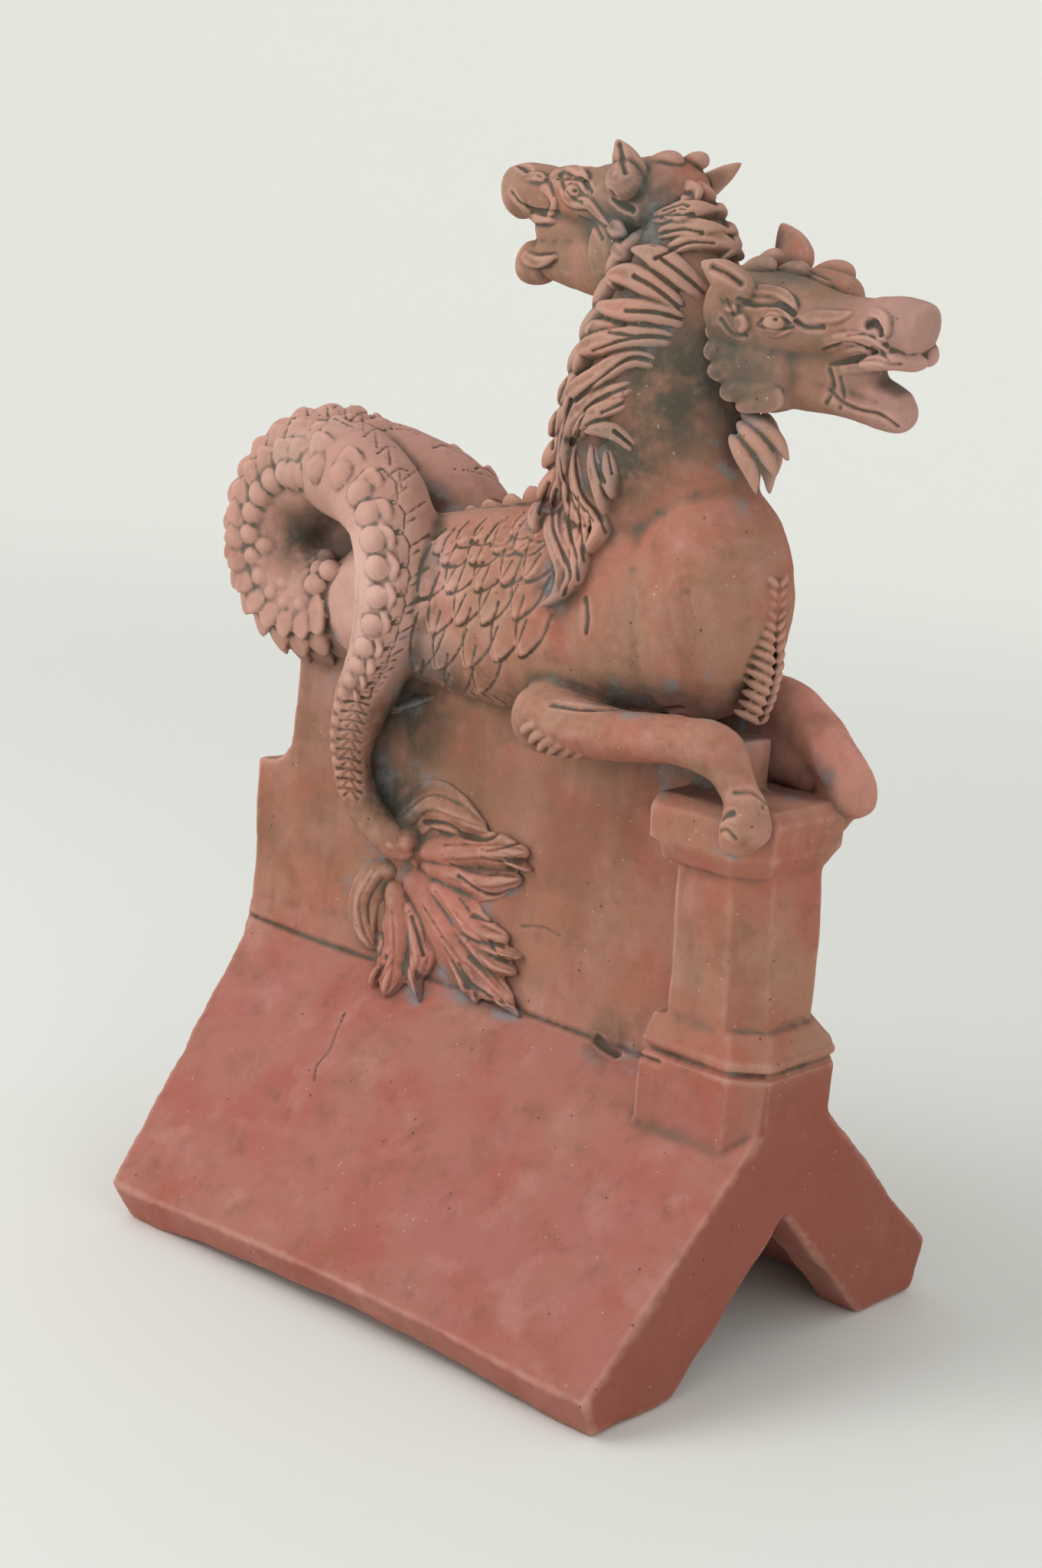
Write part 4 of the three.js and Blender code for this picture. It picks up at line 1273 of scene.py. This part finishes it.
    # rubbed edges, then dirt in every hollow, painted shade in the same dark colours over every sheltered
    # place, and lichen in the sheltered places
    worn = span(math_of("ADD", fine, product(noise(9, 3), 0.2)), 0.02, -0.4, 0, 0.5)
    colour = blend(worn, colour, "#CFA293")
    grime_and_shade = math_of("MAXIMUM", span(fine, 0.05, 0.4, 0, 0.85), span(wide, 0.4, 2.2, 0, 0.75))
    cloudy = span(noise(30, 5), 0.35, 0.62, 0.35, 1.0)
    # painted shade: how shut in a point is, read from the rays, darkens it as though shade lay there
    sheltered = math_of("MAXIMUM", span(near, 0.22, 0.62, 0, 0.75), span(far, 0.2, 0.5, 0, 0.8))
    grime_and_shade = math_of("MAXIMUM", grime_and_shade, product(sheltered, cloudy))
    grime_and_shade_colour = blend(span(noise(40, 3), 0.42, 0.58), "#463A30", "#50544C")
    colour = blend(grime_and_shade, colour, grime_and_shade_colour)
    lichen = product(span(noise(30, 6, 0.6), 0.56, 0.68, 0, 0.65), span(far, 0.06, 0.22))
    colour = blend(lichen, colour, "#83878A")

    # pale specks of grit, and pits where grit has fallen out
    speck = product(span(cells(7), 0.12, 0.05), span(noise(21, 2), 0.56, 0.6, 0, 0.55))
    colour = blend(speck, colour, "#D9C6B2")
    pit = product(span(cells(11), 0.11, 0.04), span(noise(33, 2), 0.52, 0.58))
    colour = blend(product(pit, 0.7), colour, "#4A3328")

    # real grain is finer than a millimetre, and is drawn as coarse as it needs to show
    grain = span(noise(1.6, 3, 0.7), 0.3, 0.7, -0.5, 0.5)
    height = math_of("ADD", noise(5, 5, 0.6), product(grain, 0.25))
    height = math_of("SUBTRACT", height, product(pit, 1.2))
    bump = node(tree, "ShaderNodeBump", {"Height": height, "Strength": 0.55, "Distance": 0.9 * MM})
    shader = node(tree, "ShaderNodeBsdfPrincipled", {
        "Base Color": colour, "Roughness": span(noise(12, 4), 0.3, 0.7, 0.8, 0.96),
        "Normal": bump.outputs["Normal"], "IOR": 1.45, "Specular IOR Level": 0.3})
    node(tree, "ShaderNodeOutputMaterial", {"Surface": shader.outputs["BSDF"]})
    return material


casting = [ridge_tile, beast_body, front_head, rear_head, mane]
write_shelter(casting)
terracotta = weathered_terracotta()
for piece in casting:
    piece.data.materials.clear()
    piece.data.materials.append(terracotta)
    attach(piece, "root")
    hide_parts("ridge_tile_beast")

# ---- the studio ------------------------------------------------------------------------------

FLOOR_RADIUS = 3.4
COVE_RADIUS = 1.4
COVE_STEPS = 8
WALL_HEIGHT = 0.7
FIRST_RADIUS = 0.5


def round_cove():
    """A plain pale floor that curves up into a low round wall, so that no view shows a horizon."""
    deselect()
    bpy.ops.mesh.primitive_circle_add(vertices=96, radius=FIRST_RADIUS, fill_type="NGON")
    made = bpy.context.object
    bpy.ops.object.mode_set(mode="EDIT")
    bpy.ops.mesh.select_all(action="SELECT")
    bpy.ops.mesh.extrude_region_move()
    bpy.ops.transform.resize(value=(FLOOR_RADIUS / FIRST_RADIUS,) * 3)
    rise = 0.0
    radius = FLOOR_RADIUS
    for step in range(1, COVE_STEPS + 1):
        angle = math.pi / 2 * step / COVE_STEPS
        new_radius = FLOOR_RADIUS + COVE_RADIUS * math.sin(angle)
        new_rise = COVE_RADIUS * (1 - math.cos(angle))
        bpy.ops.mesh.extrude_region_move(TRANSFORM_OT_translate={"value": (0, 0, new_rise - rise)})
        bpy.ops.transform.resize(value=(new_radius / radius, new_radius / radius, 1))
        rise, radius = new_rise, new_radius
    bpy.ops.mesh.extrude_region_move(TRANSFORM_OT_translate={"value": (0, 0, WALL_HEIGHT)})
    bpy.ops.mesh.delete(type="ONLY_FACE")
    bpy.ops.object.mode_set(mode="OBJECT")
    made.name = "floor"
    bpy.ops.object.shade_smooth()
    return made


floor = round_cove()
paper = bpy.data.materials.new("pale_paper")
paper.use_nodes = True
paper_shader = paper.node_tree.nodes["Principled BSDF"]
paper_shader.inputs["Base Color"].default_value = linear("#E4E5E0")
paper_shader.inputs["Roughness"].default_value = 0.95
# the paper is lit from behind as it climbs, so that it stays one even tone
paper_place = node(paper.node_tree, "ShaderNodeTexCoord").outputs["Object"]
paper_reach = node(paper.node_tree, "ShaderNodeVectorMath", {0: paper_place}, operation="LENGTH")
paper_glow = node(paper.node_tree, "ShaderNodeMapRange", {
    "Value": paper_reach.outputs["Value"], "From Min": 0.3, "From Max": 3.8, "To Min": 0.0, "To Max": 0.27})
paper_shader.inputs["Emission Color"].default_value = linear("#E2E3DE")
paper.node_tree.links.new(paper_glow.outputs["Result"], paper_shader.inputs["Emission Strength"])
floor.data.materials.append(paper)

world = bpy.data.worlds.new("studio")
bpy.context.scene.world = world
world.use_nodes = True
world.node_tree.nodes["Background"].inputs["Color"].default_value = linear("#F2F3F2")
world.node_tree.nodes["Background"].inputs["Strength"].default_value = 0.72


BOX_AIM = Vector((0, 0, 0.35))
BOX_SIZE = 1.4


def softbox(name, place, power):
    deselect()
    bpy.ops.object.light_add(type="AREA", location=place)
    made = bpy.context.object
    made.name = name
    made.data.shape = "DISK"
    made.data.size = BOX_SIZE
    made.data.energy = power
    made.rotation_euler = (BOX_AIM - Vector(place)).to_track_quat("-Z", "Y").to_euler()


softbox("overhead_softbox", (-0.9, -1.1, 1.9), 17.2)
softbox("fill_softbox", (-1.3, -1.8, 0.8), 9)
softbox("side_softbox", (2.0, -0.5, 0.9), 5.0)

# the camera stands at the maker's viewpoint
LENS = 58.36
SENSOR_WIDTH = 36
AZIMUTH = math.radians(40.56)
PITCH = math.radians(12.55)
ROLL = math.radians(4.87)
right = Vector((math.cos(AZIMUTH), math.sin(AZIMUTH), 0))
back = Vector((math.sin(AZIMUTH) * math.cos(PITCH), -math.cos(AZIMUTH) * math.cos(PITCH), math.sin(PITCH)))
up = back.cross(right)
turned_right = right * math.cos(ROLL) + up * math.sin(ROLL)
turned_up = up * math.cos(ROLL) - right * math.sin(ROLL)
deselect()
bpy.ops.object.camera_add()
camera = bpy.context.object
camera.data.lens = LENS
camera.data.sensor_fit = "AUTO"
camera.data.sensor_width = SENSOR_WIDTH
pose = camera.matrix_world.copy()
for row in range(3):
    stand = (EYE[row] + FRAME_SHIFT[row]) / 1000
    pose[row] = (turned_right[row], turned_up[row], back[row], stand)
camera.matrix_world = pose
camera.data.clip_end = 50
bpy.context.scene.camera = camera
bpy.context.scene.view_settings.view_transform = "Standard"
